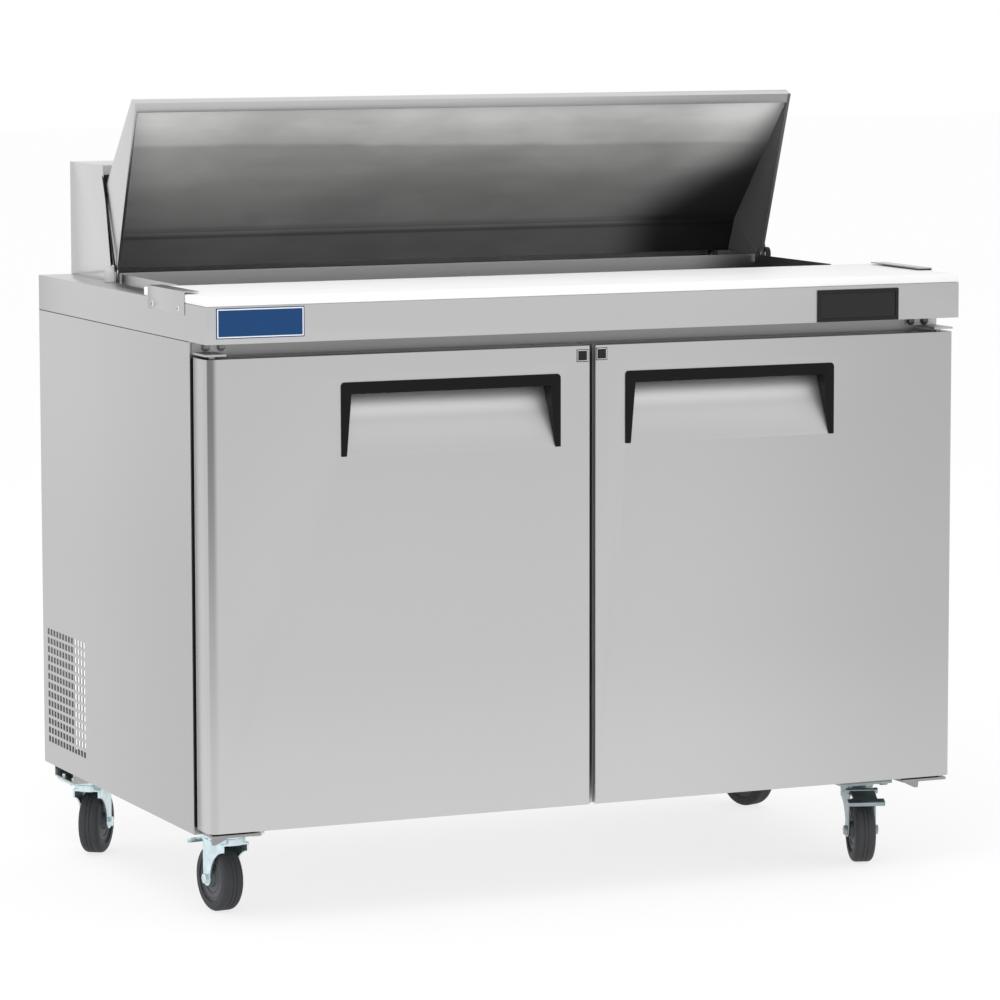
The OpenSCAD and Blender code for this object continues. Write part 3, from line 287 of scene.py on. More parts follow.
def lid_lining(name, colour, bend, band, top):
    """Inner sheet of the lid, with painted shade: dark under its fold, paler in bands above, dark at the
    right, and a faint painted highlight on the right from the band up.
    """
    slope = 1.2
    fin = Finish(name)
    lines = fin.noise(GRAIN_SCALE, 3.0, 0.6, (0.02, 1.0, 1.0))
    cloud = fin.noise(5.0, 3.0, 0.6, (0.7, 1.0, 1.6))
    streak = fin.noise(16.0, 3.0, 0.6, (0.25, 1.0, 1.2))
    up = fin.along("Z")
    across = fin.along("X")
    edge = up + across * 0.015 + cloud * mm(16) - mm(8)
    fold = bend - mm(16)
    # Painted light and shade: darkest under the fold, paler in steps up to the top.
    level = (
        up.span(fold, bend, 0.14, 0.28)
        + up.span(bend - mm(1), bend + mm(2), 0.0, 0.06)
        + up.span(bend, band, 0.0, 0.18)
        + edge.span(band - mm(4), band + mm(5), 0.0, 0.19)
        + edge.span(band, top, 0.0, 0.26)
    )
    # Painted shade: a dark line along the fold.
    crease_shade = up.span(fold - mm(4), fold, 1.0, 0.6) + up.span(fold, fold + mm(5), 0.0, 0.4)
    above = up.span(bend - mm(4), bend)
    # Painted shade towards the right, along a slant above the bend and upright below it.
    slanted_shade = (across - up * slope).span(0.29 - bend * slope, 0.455 - bend * slope, 1.0, 0.1)
    side = slanted_shade * above + across.span(0.32, 0.43, 1.0, 0.1) * (1 - above)
    # Painted highlight on the right, from just below the band to the top.
    painted_glint = across.span(0.36, 0.47) * across.span(0.5, 0.57, 1.0, 0.4)
    shine = painted_glint * edge.span(band - mm(60), band + mm(10), 0.0, 0.2)
    blotch = cloud.span(0.3, 0.72, 0.88, 1.12) * streak.span(0.3, 0.7, 0.94, 1.06)
    tone = fin.blend(lines, tinted(colour, 0.97), tinted(colour, 1.03))
    tone = fin.scaled(tone, level * side * crease_shade * blotch + shine)
    rough = lines * 0.06 + cloud * 0.1 + 0.3
    fin.set(Base_Color=tone, Metallic=0.0, Roughness=rough, Specular_IOR_Level=0.25)
    fin.bump(lines * 0.3 + cloud, 0.2, mm(0.5))


def coated(
    name, colour, rough, speck=0.08, metallic=0.0, coat=0.0, texture=240.0, depth=FINE_BUMP, shine=0.5
):
    """Moulded plastic, paint or rubber with a fine surface."""
    fin = Finish(name)
    fine = fin.noise(texture, 3.0, 0.6)
    cloud = fin.noise(14.0, 2.0, 0.5)
    shade = (fine * 0.5 + cloud * 0.5).clamped()
    fin.set(
        Base_Color=fin.blend(shade, tinted(colour, 1 - speck), tinted(colour, 1 + speck)),
        Metallic=metallic,
        Roughness=fine * 0.1 + cloud * 0.06 + (rough - 0.08),
        Coat_Weight=coat,
        Specular_IOR_Level=shine,
    )
    fin.bump(fine, 0.2, depth)


def zinc_plate(name, colour):
    """Bluish bright zinc with faint rainbow clouds, darker towards the right as painted shade."""
    fin = Finish(name)
    cloud = fin.noise(55.0, 3.0, 0.6)
    fine = fin.noise(600.0, 2.0, 0.5)
    cool = fin.blend(cloud.span(0.35, 0.7), tinted(colour, 0.86), tinted(colour, 1.1))
    tone = fin.blend(fine * 0.25, cool, (0.80, 0.78, 0.70))
    # Painted shade: the zinc darkens towards the right.
    fin.set(
        Base_Color=fin.scaled(tone, fin.along("X").span(0.2, 0.5, 1.0, 0.45)),
        Metallic=0.9,
        Roughness=cloud * 0.14 + fine * 0.05 + 0.2,
    )
    fin.bump(fine, 0.15, FINE_BUMP)


def board_plastic(name, colour):
    """White cutting board with a fine pebble and faint knife scuffs, darker towards the right end as
    painted shade.
    """
    fin = Finish(name)
    pebble = fin.noise(420.0, 2.0, 0.5)
    scuff = fin.noise(60.0, 4.0, 0.65, (0.2, 1.0, 1.0))
    shade = (pebble * 0.4 + scuff * 0.6).clamped()
    tone = fin.blend(shade, tinted(colour, 0.985), tinted(colour, 1.01))
    # Painted shade: the board darkens towards the right end.
    fin.set(
        Base_Color=fin.scaled(tone, fin.along("X").span(0.1, 0.6, 1.0, 0.9)),
        Metallic=0.0,
        Roughness=pebble * 0.08 + scuff * 0.12 + 0.38,
    )
    fin.bump(pebble, 0.2, FINE_BUMP)


def foam(name, colour):
    """Rigid foam with an open cell pattern."""
    fin = Finish(name)
    cells = fin.node("ShaderNodeTexVoronoi", Vector=fin.place(), Scale=380.0)
    tone = fin.noise(9.0, 2.0)
    fin.set(
        Base_Color=fin.blend(tone, tinted(colour, 0.9), tinted(colour, 1.03)),
        Roughness=tone * 0.1 + 0.8,
    )
    fin.bump(cells, 0.5, mm(0.5))


def finned(name, colour):
    """Thin aluminium fins over copper, a little dull between them."""
    fin = Finish(name)
    fine = fin.noise(300.0, 2.0, 0.5)
    fin.set(
        Base_Color=fin.blend(fine, tinted(colour, 0.85), tinted(colour, 1.1)),
        Metallic=1.0,
        Roughness=fine * 0.1 + 0.32,
    )
    fin.bump(fine, 0.2, mm(0.3))


# ---- Modelling ----


def clear_selection():
    if bpy.context.mode != "OBJECT":
        bpy.ops.object.mode_set(mode="OBJECT")
    bpy.ops.object.select_all(action="DESELECT")


def take(piece):
    """Makes the piece the only selected one, and the active one."""
    clear_selection()
    piece.select_set(True)
    bpy.context.view_layer.objects.active = piece


def settle(piece):
    """Puts the piece's place, turn and size into its mesh."""
    take(piece)
    bpy.ops.object.transform_apply(location=True, rotation=True, scale=True)
    return piece


def named(name):
    """Names the piece just made, and its mesh."""
    piece = bpy.context.active_object
    piece.name = name
    piece.data.name = name
    return piece


def paint(piece, look):
    """Gives the whole piece one finish."""
    piece.data.materials.clear()
    piece.data.materials.append(FINISHES[look])


def fitted(piece, look, body):
    """Gives a piece its finish and the body that carries it."""
    paint(piece, look)
    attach(piece, body)
    return piece


def block(name, low, high):
    """A box between two corners, in metres."""
    low, high = Vector(low), Vector(high)
    clear_selection()
    bpy.ops.mesh.primitive_cube_add(size=1, location=(low + high) / 2)
    piece = named(name)
    piece.scale = high - low
    return settle(piece)


def mirrored_blocks(low, high):
    """A box on each side of the middle, given by two corners of the right one."""
    blocks = []
    for side in (-1, 1):
        edges = sorted((side * low[0], side * high[0]))
        blocks.append(block("strip", (edges[0], *low[1:]), (edges[1], *high[1:])))
    return blocks


def rod(name, start, end, radius, sides):
    """A round bar between two points."""
    start, end = Vector(start), Vector(end)
    clear_selection()
    bpy.ops.mesh.primitive_cylinder_add(
        vertices=sides,
        radius=radius,
        depth=(end - start).length,
        location=(start + end) / 2,
        rotation=(end - start).to_track_quat("Z", "Y").to_euler(),
    )
    return settle(named(name))


def smooth(piece, degrees=35):
    take(piece)
    bpy.ops.object.shade_smooth_by_angle(angle=math.radians(degrees))
    return piece


def eased(piece, width, segments=2, degrees=32):
    """Breaks the sharp edges, as folding and deburring leave them."""
    take(piece)
    bpy.ops.object.modifier_add(type="BEVEL")
    bevel = piece.modifiers[-1]
    bevel.width = width
    bevel.segments = segments
    bevel.limit_method = "ANGLE"
    bevel.angle_limit = math.radians(degrees)
    bevel.use_clamp_overlap = True
    bevel.harden_normals = False
    bpy.ops.object.modifier_apply(modifier=bevel.name)
    return smooth(piece)


def copy_of(node, name):
    """A merged copy of a CAD node, to be finished in its stead."""
    piece = NODES[node].copy()
    piece.data = NODES[node].data.copy()
    piece.name = name
    piece.data.name = name
    bpy.context.collection.objects.link(piece)
    piece.parent = None
    piece.matrix_world = Matrix()
    take(piece)
    bpy.ops.object.mode_set(mode="EDIT")
    bpy.ops.mesh.select_all(action="SELECT")
    bpy.ops.mesh.remove_doubles(threshold=0.00001)
    bpy.ops.mesh.dissolve_limited(angle_limit=math.radians(1.5))
    bpy.ops.object.mode_set(mode="OBJECT")
    return piece


def finished_copy(node, name, body, width, look, segments=2):
    """A CAD node with broken edges, riding where the node rides."""
    piece = fitted(eased(copy_of(node, name), width, segments), look, body)
    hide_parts(node)
    return piece


def repaint(piece, look, test):
    """Gives another finish to the faces whose centre and normal pass a test."""
    piece.data.materials.append(FINISHES[look])
    slot = len(piece.data.materials) - 1
    for face in piece.data.polygons:
        if test(face.center, face.normal):
            face.material_index = slot


def joined(name, pieces):
    """Makes one piece of several."""
    clear_selection()
    for piece in pieces:
        piece.select_set(True)
    bpy.context.view_layer.objects.active = pieces[0]
    if len(pieces) > 1:
        bpy.ops.object.join()
    return named(name)


def lathe(name, profile, centre, axis, steps):
    """Spins a closed profile of (radius, offset along the axis) points."""
    clear_selection()
    bpy.ops.mesh.primitive_circle_add(vertices=len(profile), radius=1, location=(0, 0, 0))
    piece = named(name)
    for vertex, (radius, offset) in zip(piece.data.vertices, profile):
        vertex.co = (radius, 0.0, offset)
    take(piece)
    bpy.ops.object.mode_set(mode="EDIT")
    bpy.ops.mesh.select_all(action="SELECT")
    bpy.ops.mesh.spin(steps=steps, angle=math.tau, center=(0, 0, 0), axis=(0, 0, 1))
    bpy.ops.mesh.select_all(action="SELECT")
    bpy.ops.mesh.remove_doubles(threshold=0.000005)
    bpy.ops.mesh.normals_make_consistent(inside=False)
    bpy.ops.object.mode_set(mode="OBJECT")
    turn = Vector(axis).to_track_quat("Z", "Y").to_matrix().to_4x4()
    piece.matrix_world = Matrix.Translation(Vector(centre)) @ turn
    return smooth(settle(piece), 30)


def tube(name, points, radius):
    """A bent pipe through the points, as a mesh."""
    curve = bpy.data.curves.new(name, "CURVE")
    curve.dimensions = "3D"
    curve.bevel_depth = radius
    curve.bevel_resolution = 4
    curve.use_fill_caps = True
    spline = curve.splines.new("NURBS")
    spline.points.add(len(points) - 1)
    for point, place in zip(spline.points, points):
        point.co = (*place, 1.0)
    spline.order_u = 3
    spline.use_endpoint_u = True
    spline.resolution_u = 8
    piece = bpy.data.objects.new(name, curve)
    bpy.context.collection.objects.link(piece)
    take(piece)
    bpy.ops.object.convert(target="MESH")
    return smooth(named(name), 60)


def body_place(node):
    """Low and high corner of a CAD node."""
    low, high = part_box(node)
    return Vector(low), Vector(high)


def numbered(name, count):
    """The names of a row of CAD nodes that end in a number."""
    return ["%s_%d" % (name, number + 1) for number in range(count)]


def caster_frame(index):
    """Centre of a caster's wheel and the way its axle runs."""
    low, high = body_place("caster_tyre_%d" % (index + 1))
    joint = next(j for j in FRAME["joints"] if j["name"] == "wheel_%s_spin" % CASTERS[index])
    return (low + high) / 2, Vector(joint["axis"]).normalized()


# ---- Camera and image points ----


def camera_turn():
    """Camera axes from the yaw, pitch and roll that fit the photograph."""
    yaw, pitch, roll = CAMERA_YAW, CAMERA_PITCH, CAMERA_ROLL
    ahead = Vector((math.sin(yaw) * math.cos(pitch), math.cos(yaw) * math.cos(pitch), math.sin(pitch)))
    right = Vector((math.cos(yaw), -math.sin(yaw), 0.0))
    up = right.cross(ahead)
    right, up = (
        right * math.cos(roll) + up * math.sin(roll),
        up * math.cos(roll) - right * math.sin(roll),
    )
    return Matrix((right, up, -ahead)).transposed()


def image_ray(x, y):
    """Start and direction of the sight line through a pixel."""
    long_side = max(W, H)
    local = Vector((x - W / 2, H / 2 - y, -long_side * LENS / SENSOR))
    return CAMERA_PLACE, (camera_turn() @ local).normalized()


def in_image(place):
    """Pixel at which a place shows."""
    local = camera_turn().transposed() @ (Vector(place) - CAMERA_PLACE)
    scale = max(W, H) * LENS / SENSOR / -local.z
    return W / 2 + local.x * scale, H / 2 - local.y * scale


def merged_tree(pieces):
    """One search tree over all the pieces' faces."""
    places, faces = [], []
    for piece in pieces:
        start = len(places)
        places.extend(v.co for v in piece.data.vertices)
        faces.extend([start + i for i in p.vertices] for p in piece.data.polygons)
    return BVHTree.FromPolygons(places, faces)


def surface_at(x, y, carriers):
    """Place where the sight line through a pixel meets the carriers, or the nearest to it."""
    start, way = image_ray(x, y)
    place = merged_tree(carriers).ray_cast(start, way)[0]
    if place is None:
        corners = [v.co for piece in carriers for v in piece.data.vertices]
        place = min(corners, key=lambda corner: (corner - start).cross(way).length)
    return place


def in_sight(tree, place):
    """Tells whether nothing stands between the camera and a place."""
    way = place - CAMERA_PLACE
    return tree.ray_cast(CAMERA_PLACE, way.normalized(), way.length - mm(1.5))[0] is None


def write_points():
    """Works out how far each named thing shows from its point in the photograph; nothing is kept."""
    shown = [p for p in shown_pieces() if p.type == "MESH"]
    tree = merged_tree(shown)
    by_name = {p.name: [v.co.copy() for v in p.data.vertices] for p in shown}
    whole = [place for places in by_name.values() for place in places]
    for key, (x, y) in POINTS.items():
        piece, way = CORNERS[key]
        spots = [(in_image(place), place) for place in by_name.get(piece, whole)]
        if key.endswith(("_tag", "_tyre")):
            columns = [spot[0] for spot, _ in spots]
            rows = [spot[1] for spot, _ in spots]
            level = max(rows) if key.endswith("_tyre") else (min(rows) + max(rows)) / 2
            found = ((min(columns) + max(columns)) / 2, level)
        else:
            if way is None:
                spots.sort(key=lambda s: math.hypot(s[0][0] - x, s[0][1] - y))
            else:
                spots.sort(key=lambda s: -s[0][0] * way[0] - s[0][1] * way[1])
            found = next((spot for spot, place in spots if in_sight(tree, place)), spots[0][0])
        dx, dy = found[0] - x, found[1] - y
        if piece is None:
            dx, dy = (dx, 0.0) if way[0] else (0.0, dy)


# ---- Settings ----


class TableSizes(bpy.types.PropertyGroup):
    """Sizes that a user may change before dressing the table."""

    fold_round: FloatProperty(
        name="Sheet fold radius",
        description="Rounding of the worktop's folded edges",
        default=mm(1.6),
        min=0.0,
        max=mm(4),
        unit="LENGTH",
    )
    board_round: FloatProperty(
        name="Board edge radius",
        description="Rounding of the cutting board's edges",
        default=mm(2.2),
        min=0.0,
        max=mm(5),
        unit="LENGTH",
    )
    tag_size: FloatProperty(
        name="Door tag size",
        description="Side of the square tags on the doors",
        default=mm(18.5),
        min=mm(8),
        max=mm(30),
        unit="LENGTH",
    )
    plate_border: FloatProperty(
        name="Name plate border",
        description="Width of the pale line round the name plate",
        default=mm(1.6),
        min=mm(0.5),
        max=mm(5),
        unit="LENGTH",
    )
    tread_rings: IntProperty(
        name="Tread grooves",
        description="Grooves round each tyre",
        default=2,
        min=0,
        max=4,
    )


class TableColours(bpy.types.PropertyGroup):
    """Colours of the table's finishes."""

    steel: FloatVectorProperty(
        name="Stainless sheet",
        description="Colour of the outer stainless sheets",
        default=(0.535, 0.535, 0.535),
        min=0,
        max=1,
        subtype="COLOR",
    )
    liner: FloatVectorProperty(
        name="Lid lining",
        description="Colour of the lid's inner sheet",
        default=(1.0, 1.0, 0.99),
        min=0,
        max=1,
        subtype="COLOR",
    )
    board: FloatVectorProperty(
        name="Cutting board",
        description="Colour of the cutting board",
        default=(0.975, 0.975, 0.97),
        min=0,
        max=1,
        subtype="COLOR",
    )
    handle: FloatVectorProperty(
        name="Handles",
        description="Colour of the door handles",
        default=(0.006, 0.006, 0.0065),
        min=0,
        max=1,
        subtype="COLOR",
    )
    plate: FloatVectorProperty(
        name="Name plate",
        description="Colour of the bare name plate",
        default=(0.010, 0.055, 0.165),
        min=0,
        max=1,
        subtype="COLOR",
    )
    zinc: FloatVectorProperty(
        name="Zinc plating",
        description="Colour of the casters' forks and plates",
        default=(0.70, 0.86, 0.92),
        min=0,
        max=1,
        subtype="COLOR",
    )
    tyre: FloatVectorProperty(
        name="Tyres",
        description="Colour of the casters' tyres",
        default=(0.055, 0.056, 0.06),
        min=0,
        max=1,
        subtype="COLOR",
    )


# ---- Operators ----


class PREPTABLE_OT_finishes(bpy.types.Operator):
    """Makes the materials and gives every CAD node one"""

    bl_idname = "preptable.finishes"
    bl_label = "Finishes"

    def execute(self, context):
        c = context.scene.prep_table_colours
        low, high = body_place("lid_panel")
        # Painted shade: the top steel darkens towards the right end.
        across = (("X", 0.1, 0.62, 1.0, 0.9),)
        # Painted shade: the side sheets are a slightly paler copy of the steel that darkens towards the
        # front and the bottom.
        sides = (("Y", -0.33, 0.3, 0.9, 1.0), ("Z", 0.45, 0.8, 0.94, 1.0))
        # Painted shade: the lid's front-facing rim is a darker copy of the steel, darker again towards the
        # right.
        rim = (("X", 0.1, 0.54, 1.0, 0.64), ("X", 0.549, 0.552, 1.0, 0.4))
        # Painted light and shade on the doors: paler low down, a little darker at the top and darker
        # towards the right.
        upright = (("Z", 0.13, 0.42, 1.13, 1.0), ("Z", 0.5, 0.85, 1.0, 0.97), ("X", 0.1, 0.62, 1.0, 0.86))
        # Painted reflection: a dark upright stripe in the rounded outer corner of the doors.
        door_edge = body_place("left_door_skin")[0].x
        turn = (door_edge + mm(2.5), door_edge + mm(18), 0.2, 0.84)
        # Painted light: the handle pockets get a paler copy of the steel, dimmed low down and brightened
        # near the top.
        handle_low, handle_high = body_place("left_door_handle")
        pocket = (
            ("Z", handle_low.z, handle_high.z - mm(64), 0.8, 0.87),
            ("Z", handle_high.z - mm(60), handle_high.z - mm(34), 1.0, 1.6),
        )
        brushed("door_steel", c.steel, 0.34, "Z", fades=upright, band=turn)
        brushed("side_steel", tinted(c.steel, 1.05), 0.36, "Z", fades=sides)
        brushed("top_steel", c.steel, 0.3, "X", fades=across)
        brushed("shaded_rim_steel", tinted(c.steel, 0.95), 0.3, "X", fades=rim)
        brushed("lit_pocket_steel", tinted(c.steel, 1.3), 0.5, "X", fades=pocket)
        # Painted light: a paler copy of the steel for the lid and hood.
        brushed("lid_steel", tinted(c.steel, 1.18), 0.3, "X")
        # Painted light and shade: a paler copy of the steel for the pan well, darkened sharply at its right
        # end.
        brushed("well_steel", tinted(c.steel, 1.15), 0.34, "X", fades=(("X", 0.42, 0.52, 1.0, 0.3),))
        brushed("hidden_steel", tinted(c.steel, 0.9), 0.42, "X")
        # Painted shade: a much darker copy of the steel for the face frame and the bottom hinges.
        brushed("shaded_frame_steel", tinted(c.steel, 0.62), 0.36, "X")
        brushed("bay_lining", (0.62, 0.63, 0.64), 0.4, "Z")
        # The lid lining's colour carries painted shade and a painted highlight.
        lid_lining("lid_lining", c.liner, bend=low.z + mm(62), band=low.z + mm(189), top=high.z)
        zinc_plate("zinc", c.zinc)
        zinc_plate("bolt_grey", (0.2, 0.21, 0.22))
        zinc_plate("galvanised", (0.47, 0.48, 0.49))
        finned("fins", (0.62, 0.61, 0.59))
        finned("copper", (0.72, 0.36, 0.2))
        board_plastic("board", c.board)
        foam("foam", (0.85, 0.80, 0.62))
        coated("shade_steel", (0.075, 0.075, 0.075), 0.42, 0.06, metallic=0.2)
        # Painted shade: a dark steel for the lid's right cheek.
        coated("shaded_cheek_steel", (0.16, 0.16, 0.16), 0.42, 0.06, metallic=0.2)
        coated("handle_black", c.handle, 0.45, texture=420.0, shine=0.12)
        coated("bezel_black", (0.012, 0.012, 0.013), 0.42, texture=420.0, shine=0.22)
        window = (0.013, 0.012, 0.013)
        coated("window_gloss", window, 0.12, 0.02, texture=60.0, depth=mm(0.02), shine=0.3)
        coated("plate_blue", c.plate, 0.35, 0.05, texture=200.0, depth=mm(0.05), shine=0.15)
        coated("plate_line", (0.85, 0.87, 0.88), 0.4, 0.02)
        coated("tyre_rubber", c.tyre, 0.6, 0.12, texture=160.0, depth=mm(0.4), shine=0.25)
        coated("hub_grey", (0.11, 0.115, 0.125), 0.5, 0.06, shine=0.3)
        coated("cap_grey", (0.62, 0.62, 0.61), 0.42, 0.03)
        coated("wire_coat", (0.80, 0.80, 0.78), 0.35, 0.03, coat=0.3)
        # Black for the door gaskets and seams; the same black is painted shade in the door gaps and screw
        # slots, and colours the strips at the hood's front.
        coated("seal_and_shade_black", (0.012, 0.012, 0.013), 0.62, 0.1, shine=0.1)
        coated("compressor_paint", (0.015, 0.015, 0.016), 0.32, 0.1, coat=0.3, texture=90.0)
        coated("fan_grey", (0.35, 0.35, 0.36), 0.45, 0.04)
        forks, pedals = numbered("caster_fork", 4), numbered("brake_pedal", 2)
        mouldings = ("controller_bezel", "hinge_bushes", "fan_shroud", "cord_inlet", "evaporator_fan")
        worn_by = {
            "door_steel": ("left_door_skin", "right_door_skin"),
            "side_steel": ("left_side_panel", "right_side_panel"),
            "top_steel": ("worktop", "board_clips"),
            "lid_steel": ("lid_shell", "hood"),
            "lid_lining": ("lid_panel",),
            "well_steel": ("pan_well",),
            "hidden_steel": ("evaporator_cover", "shelf_posts", "drip_pan", "top_hinges"),
            "shaded_frame_steel": ("front_frame", "bottom_hinges"),
            "bay_lining": ("inner_liner", "left_door_core", "right_door_core"),
            "galvanised": ("back_panel", "base_pan", "base_rails"),
            "zinc": ("small_bolts", "lid_pins", "caster_plates", *forks, *pedals),
            "handle_black": ("left_door_handle", "right_door_handle"),
            "bezel_black": mouldings,
            "window_gloss": ("controller_window",),
            "plate_blue": ("name_plate",),
            "board": ("cutting_board",),
            "tyre_rubber": numbered("caster_tyre", 4),
            "hub_grey": numbered("caster_wheel", 4),
            "cap_grey": ("pivot_caps",),
            "wire_coat": ("left_shelf", "right_shelf"),
            "seal_and_shade_black": ("left_door_gasket", "right_door_gasket"),
            "foam": ("insulation", "worktop_core"),
            "fins": ("evaporator_coil", "condenser_coil"),
            "compressor_paint": ("compressor",),
            "fan_grey": ("condenser_fan",),
        }
        for name, nodes in worn_by.items():
            for node in nodes:
                paint(NODES[node], name)
        for name in ("left_shelf", "right_shelf", "compressor", "lid_pins", "caster_plates", "small_bolts"):
            smooth(NODES[name], 30)
        return {"FINISHED"}


class PREPTABLE_OT_sheets(bpy.types.Operator):
    """Breaks the edges of the folded sheets: slab, doors, hood and lid"""

    bl_idname = "preptable.sheets"
    bl_label = "Folded sheets"

    def execute(self, context):
        sizes = context.scene.prep_table_sizes
        finished_copy("worktop", "worktop_slab", "cabinet", sizes.fold_round, "top_steel", 3)
        for side in ("left_", "right_"):
            skin = side + "door_skin"
            door = finished_copy(skin, side + "door_face", side + "door", mm(0.5), "door_steel")
            low, high = body_place(side + "door_handle")
            foot, depth = low.z - mm(20), body_place(skin)[0].y + mm(2)
            # Painted light: the faces in the handle pocket take the paler pocket steel.
            repaint(
                door,
                "lit_pocket_steel",
                lambda at, way: low.x < at.x < high.x and foot < at.z < high.z and at.y > depth,
            )
        hood = finished_copy("hood", "hood_skin", "cabinet", mm(0.45), "lid_steel")
        low, high = body_place("hood")
        inside, shade = high.x - mm(1.3), low.z + mm(60)
        repaint(hood, "shade_steel", lambda at, way: abs(at.x) < inside and at.z < shade)
        lid = finished_copy("lid_shell", "lid_skin", "lid", mm(0.45), "lid_steel")
        low, high = body_place("lid_shell")
        cheek, rim = high.x - mm(7), high.z - mm(4)
        # Painted shade: the lid's front-facing faces take the darker rim steel.
        repaint(lid, "shaded_rim_steel", lambda at, way: way.y < -0.5)
        # Painted shade: the lid's right cheek takes the dark cheek steel.
        repaint(lid, "shaded_cheek_steel", lambda at, way: at.x > cheek and way.x < 0.5 and at.z < rim)
        finished_copy("board_clips", "board_brackets", "cabinet", mm(0.4), "top_steel")
        caps = finished_copy("pivot_caps", "hinge_caps", "cabinet", mm(0.8), "cap_grey")
        repaint(caps, "bezel_black", lambda at, way: at.x > 0)
        return {"FINISHED"}


class PREPTABLE_OT_board(bpy.types.Operator):
    """Makes the cutting board with rounded edges"""

    bl_idname = "preptable.board"
    bl_label = "Cutting board"

    def execute(self, context):
        sizes = context.scene.prep_table_sizes
        finished_copy("cutting_board", "white_board", "cutting_board", sizes.board_round, "board", 4)
        return {"FINISHED"}


class PREPTABLE_OT_handles(bpy.types.Operator):
    """Rounds the black pocket handles"""

    bl_idname = "preptable.handles"
    bl_label = "Door handles"

    def execute(self, context):
        for side in ("left_", "right_"):
            node = side + "door_handle"
            finished_copy(node, side + "handle", side + "door", mm(0.7), "handle_black", 3)
        return {"FINISHED"}


class PREPTABLE_OT_front_fittings(bpy.types.Operator):
    """Adds the name plate's border and the door tags"""

    bl_idname = "preptable.front_fittings"
    bl_label = "Front fittings"

    def execute(self, context):
        sizes = context.scene.prep_table_sizes
        low, high = body_place("name_plate")
        line, inset = sizes.plate_border, mm(1.4)
        x0, x1, z0, z1 = low.x + inset, high.x - inset, low.z + inset, high.z - inset
        bars = [
            ((x0, z0), (x1, z0 + line)),
            ((x0, z1 - line), (x1, z1)),
            ((x0, z0 + line), (x0 + line, z1 - line)),
            ((x1 - line, z0 + line), (x1, z1 - line)),
        ]
        front, back = low.y - mm(0.25), low.y + mm(0.1)
        parts = [block("border", (a[0], front, a[1]), (b[0], back, b[1])) for a, b in bars]
        fitted(joined("name_plate_border", parts), "plate_line", "cabinet")
        half = sizes.tag_size / 2
        edge, half_line = half - mm(1.6), mm(0.35)
        for side in ("left", "right"):
            x, y = POINTS[side + "_tag"]
            place = surface_at(x, y, [bpy.data.objects[side + "_door_face"]])
            tag = block(
                side + "_tag",
                (place.x - half, place.y - mm(0.7), place.z - half),
                (place.x + half, place.y, place.z + half),
            )
            fitted(eased(tag, mm(0.25)), "bezel_black", side + "_door")
            rim = []
            for sx, sz in ((1, 0), (-1, 0), (0, 1), (0, -1)):
                wide, tall = (half_line, edge) if sx else (edge, half_line)
                cx, cz = place.x + sx * edge, place.z + sz * edge
                start = (cx - wide, place.y - mm(0.8), cz - tall)
                rim.append(block("rim", start, (cx + wide, place.y - mm(0.6), cz + tall)))
            fitted(joined(side + "_tag_line", rim), "plate_line", side + "_door")
        return {"FINISHED"}


class PREPTABLE_OT_casters(bpy.types.Operator):
    """Makes grooved tyres, ringed hubs and softened forks"""

    bl_idname = "preptable.casters"
    bl_label = "Casters"

    def tyre_profile(self, rings):
        """Half-round tread with grooves, from (radius, offset) in millimetres."""
        outer, half, inner, r = 50.0, 16.0, 35.3, 7.0
        groove, mouth, bed = 0.8, 0.9, 0.5
        points = [(inner, -half)]
        steps = 6
        for i in range(steps + 1):
            a = -math.pi / 2 + i * math.pi / 2 / steps
            points.append((outer - r + r * math.cos(a), -half + r + r * math.sin(a)))
        for i in range(rings):
            at = (i + 1) * (2 * (half - r)) / (rings + 1) - (half - r)
            points += [(outer, at - mouth), (outer - groove, at - bed)]
            points += [(outer - groove, at + bed), (outer, at + mouth)]
        for i in range(steps + 1):
            a = i * math.pi / 2 / steps
            points.append((outer - r + r * math.cos(a), half - r + r * math.sin(a)))
        points.append((inner, half))
        return [(mm(a), mm(b)) for a, b in points]

    def hub_profile(self):
        """Hub disc with a raised boss and two shallow rings on each side."""
        edge = [(34.9, 14.0), (33.2, 14.0), (32.6, 12.6)]
        disc = [(30.6, 12.6), (30.0, 13.2), (24.0, 13.2), (23.4, 11.8), (21.4, 11.8), (20.8, 12.6)]
        boss = [(14.0, 13.4), (12.6, 17.6), (11.8, 18.4), (5.1, 18.4)]
        side = edge + disc + boss
        points = [(a, -b) for a, b in side] + side[::-1]
        return [(mm(a), mm(b)) for a, b in points]

    def execute(self, context):
        rings = context.scene.prep_table_sizes.tread_rings
        for index, place in enumerate(CASTERS):
            number = index + 1
            centre, axle = caster_frame(index)
            wheel = "wheel_" + place
            tyre = lathe("tyre_" + place, self.tyre_profile(rings), centre, axle, 96)
            fitted(tyre, "tyre_rubber", wheel)
            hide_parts("caster_tyre_%d" % number)
            hub = lathe("hub_" + place, self.hub_profile(), centre, axle, 64)
            fitted(hub, "hub_grey", wheel)
            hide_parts("caster_wheel_%d" % number)
            finished_copy("caster_fork_%d" % number, "fork_" + place, "caster_" + place, mm(0.8), "zinc")
        for number, place in ((1, "front_left"), (2, "front_right")):
            finished_copy("brake_pedal_%d" % number, "pedal_" + place, "brake_" + place, mm(0.4), "zinc")
        return {"FINISHED"}


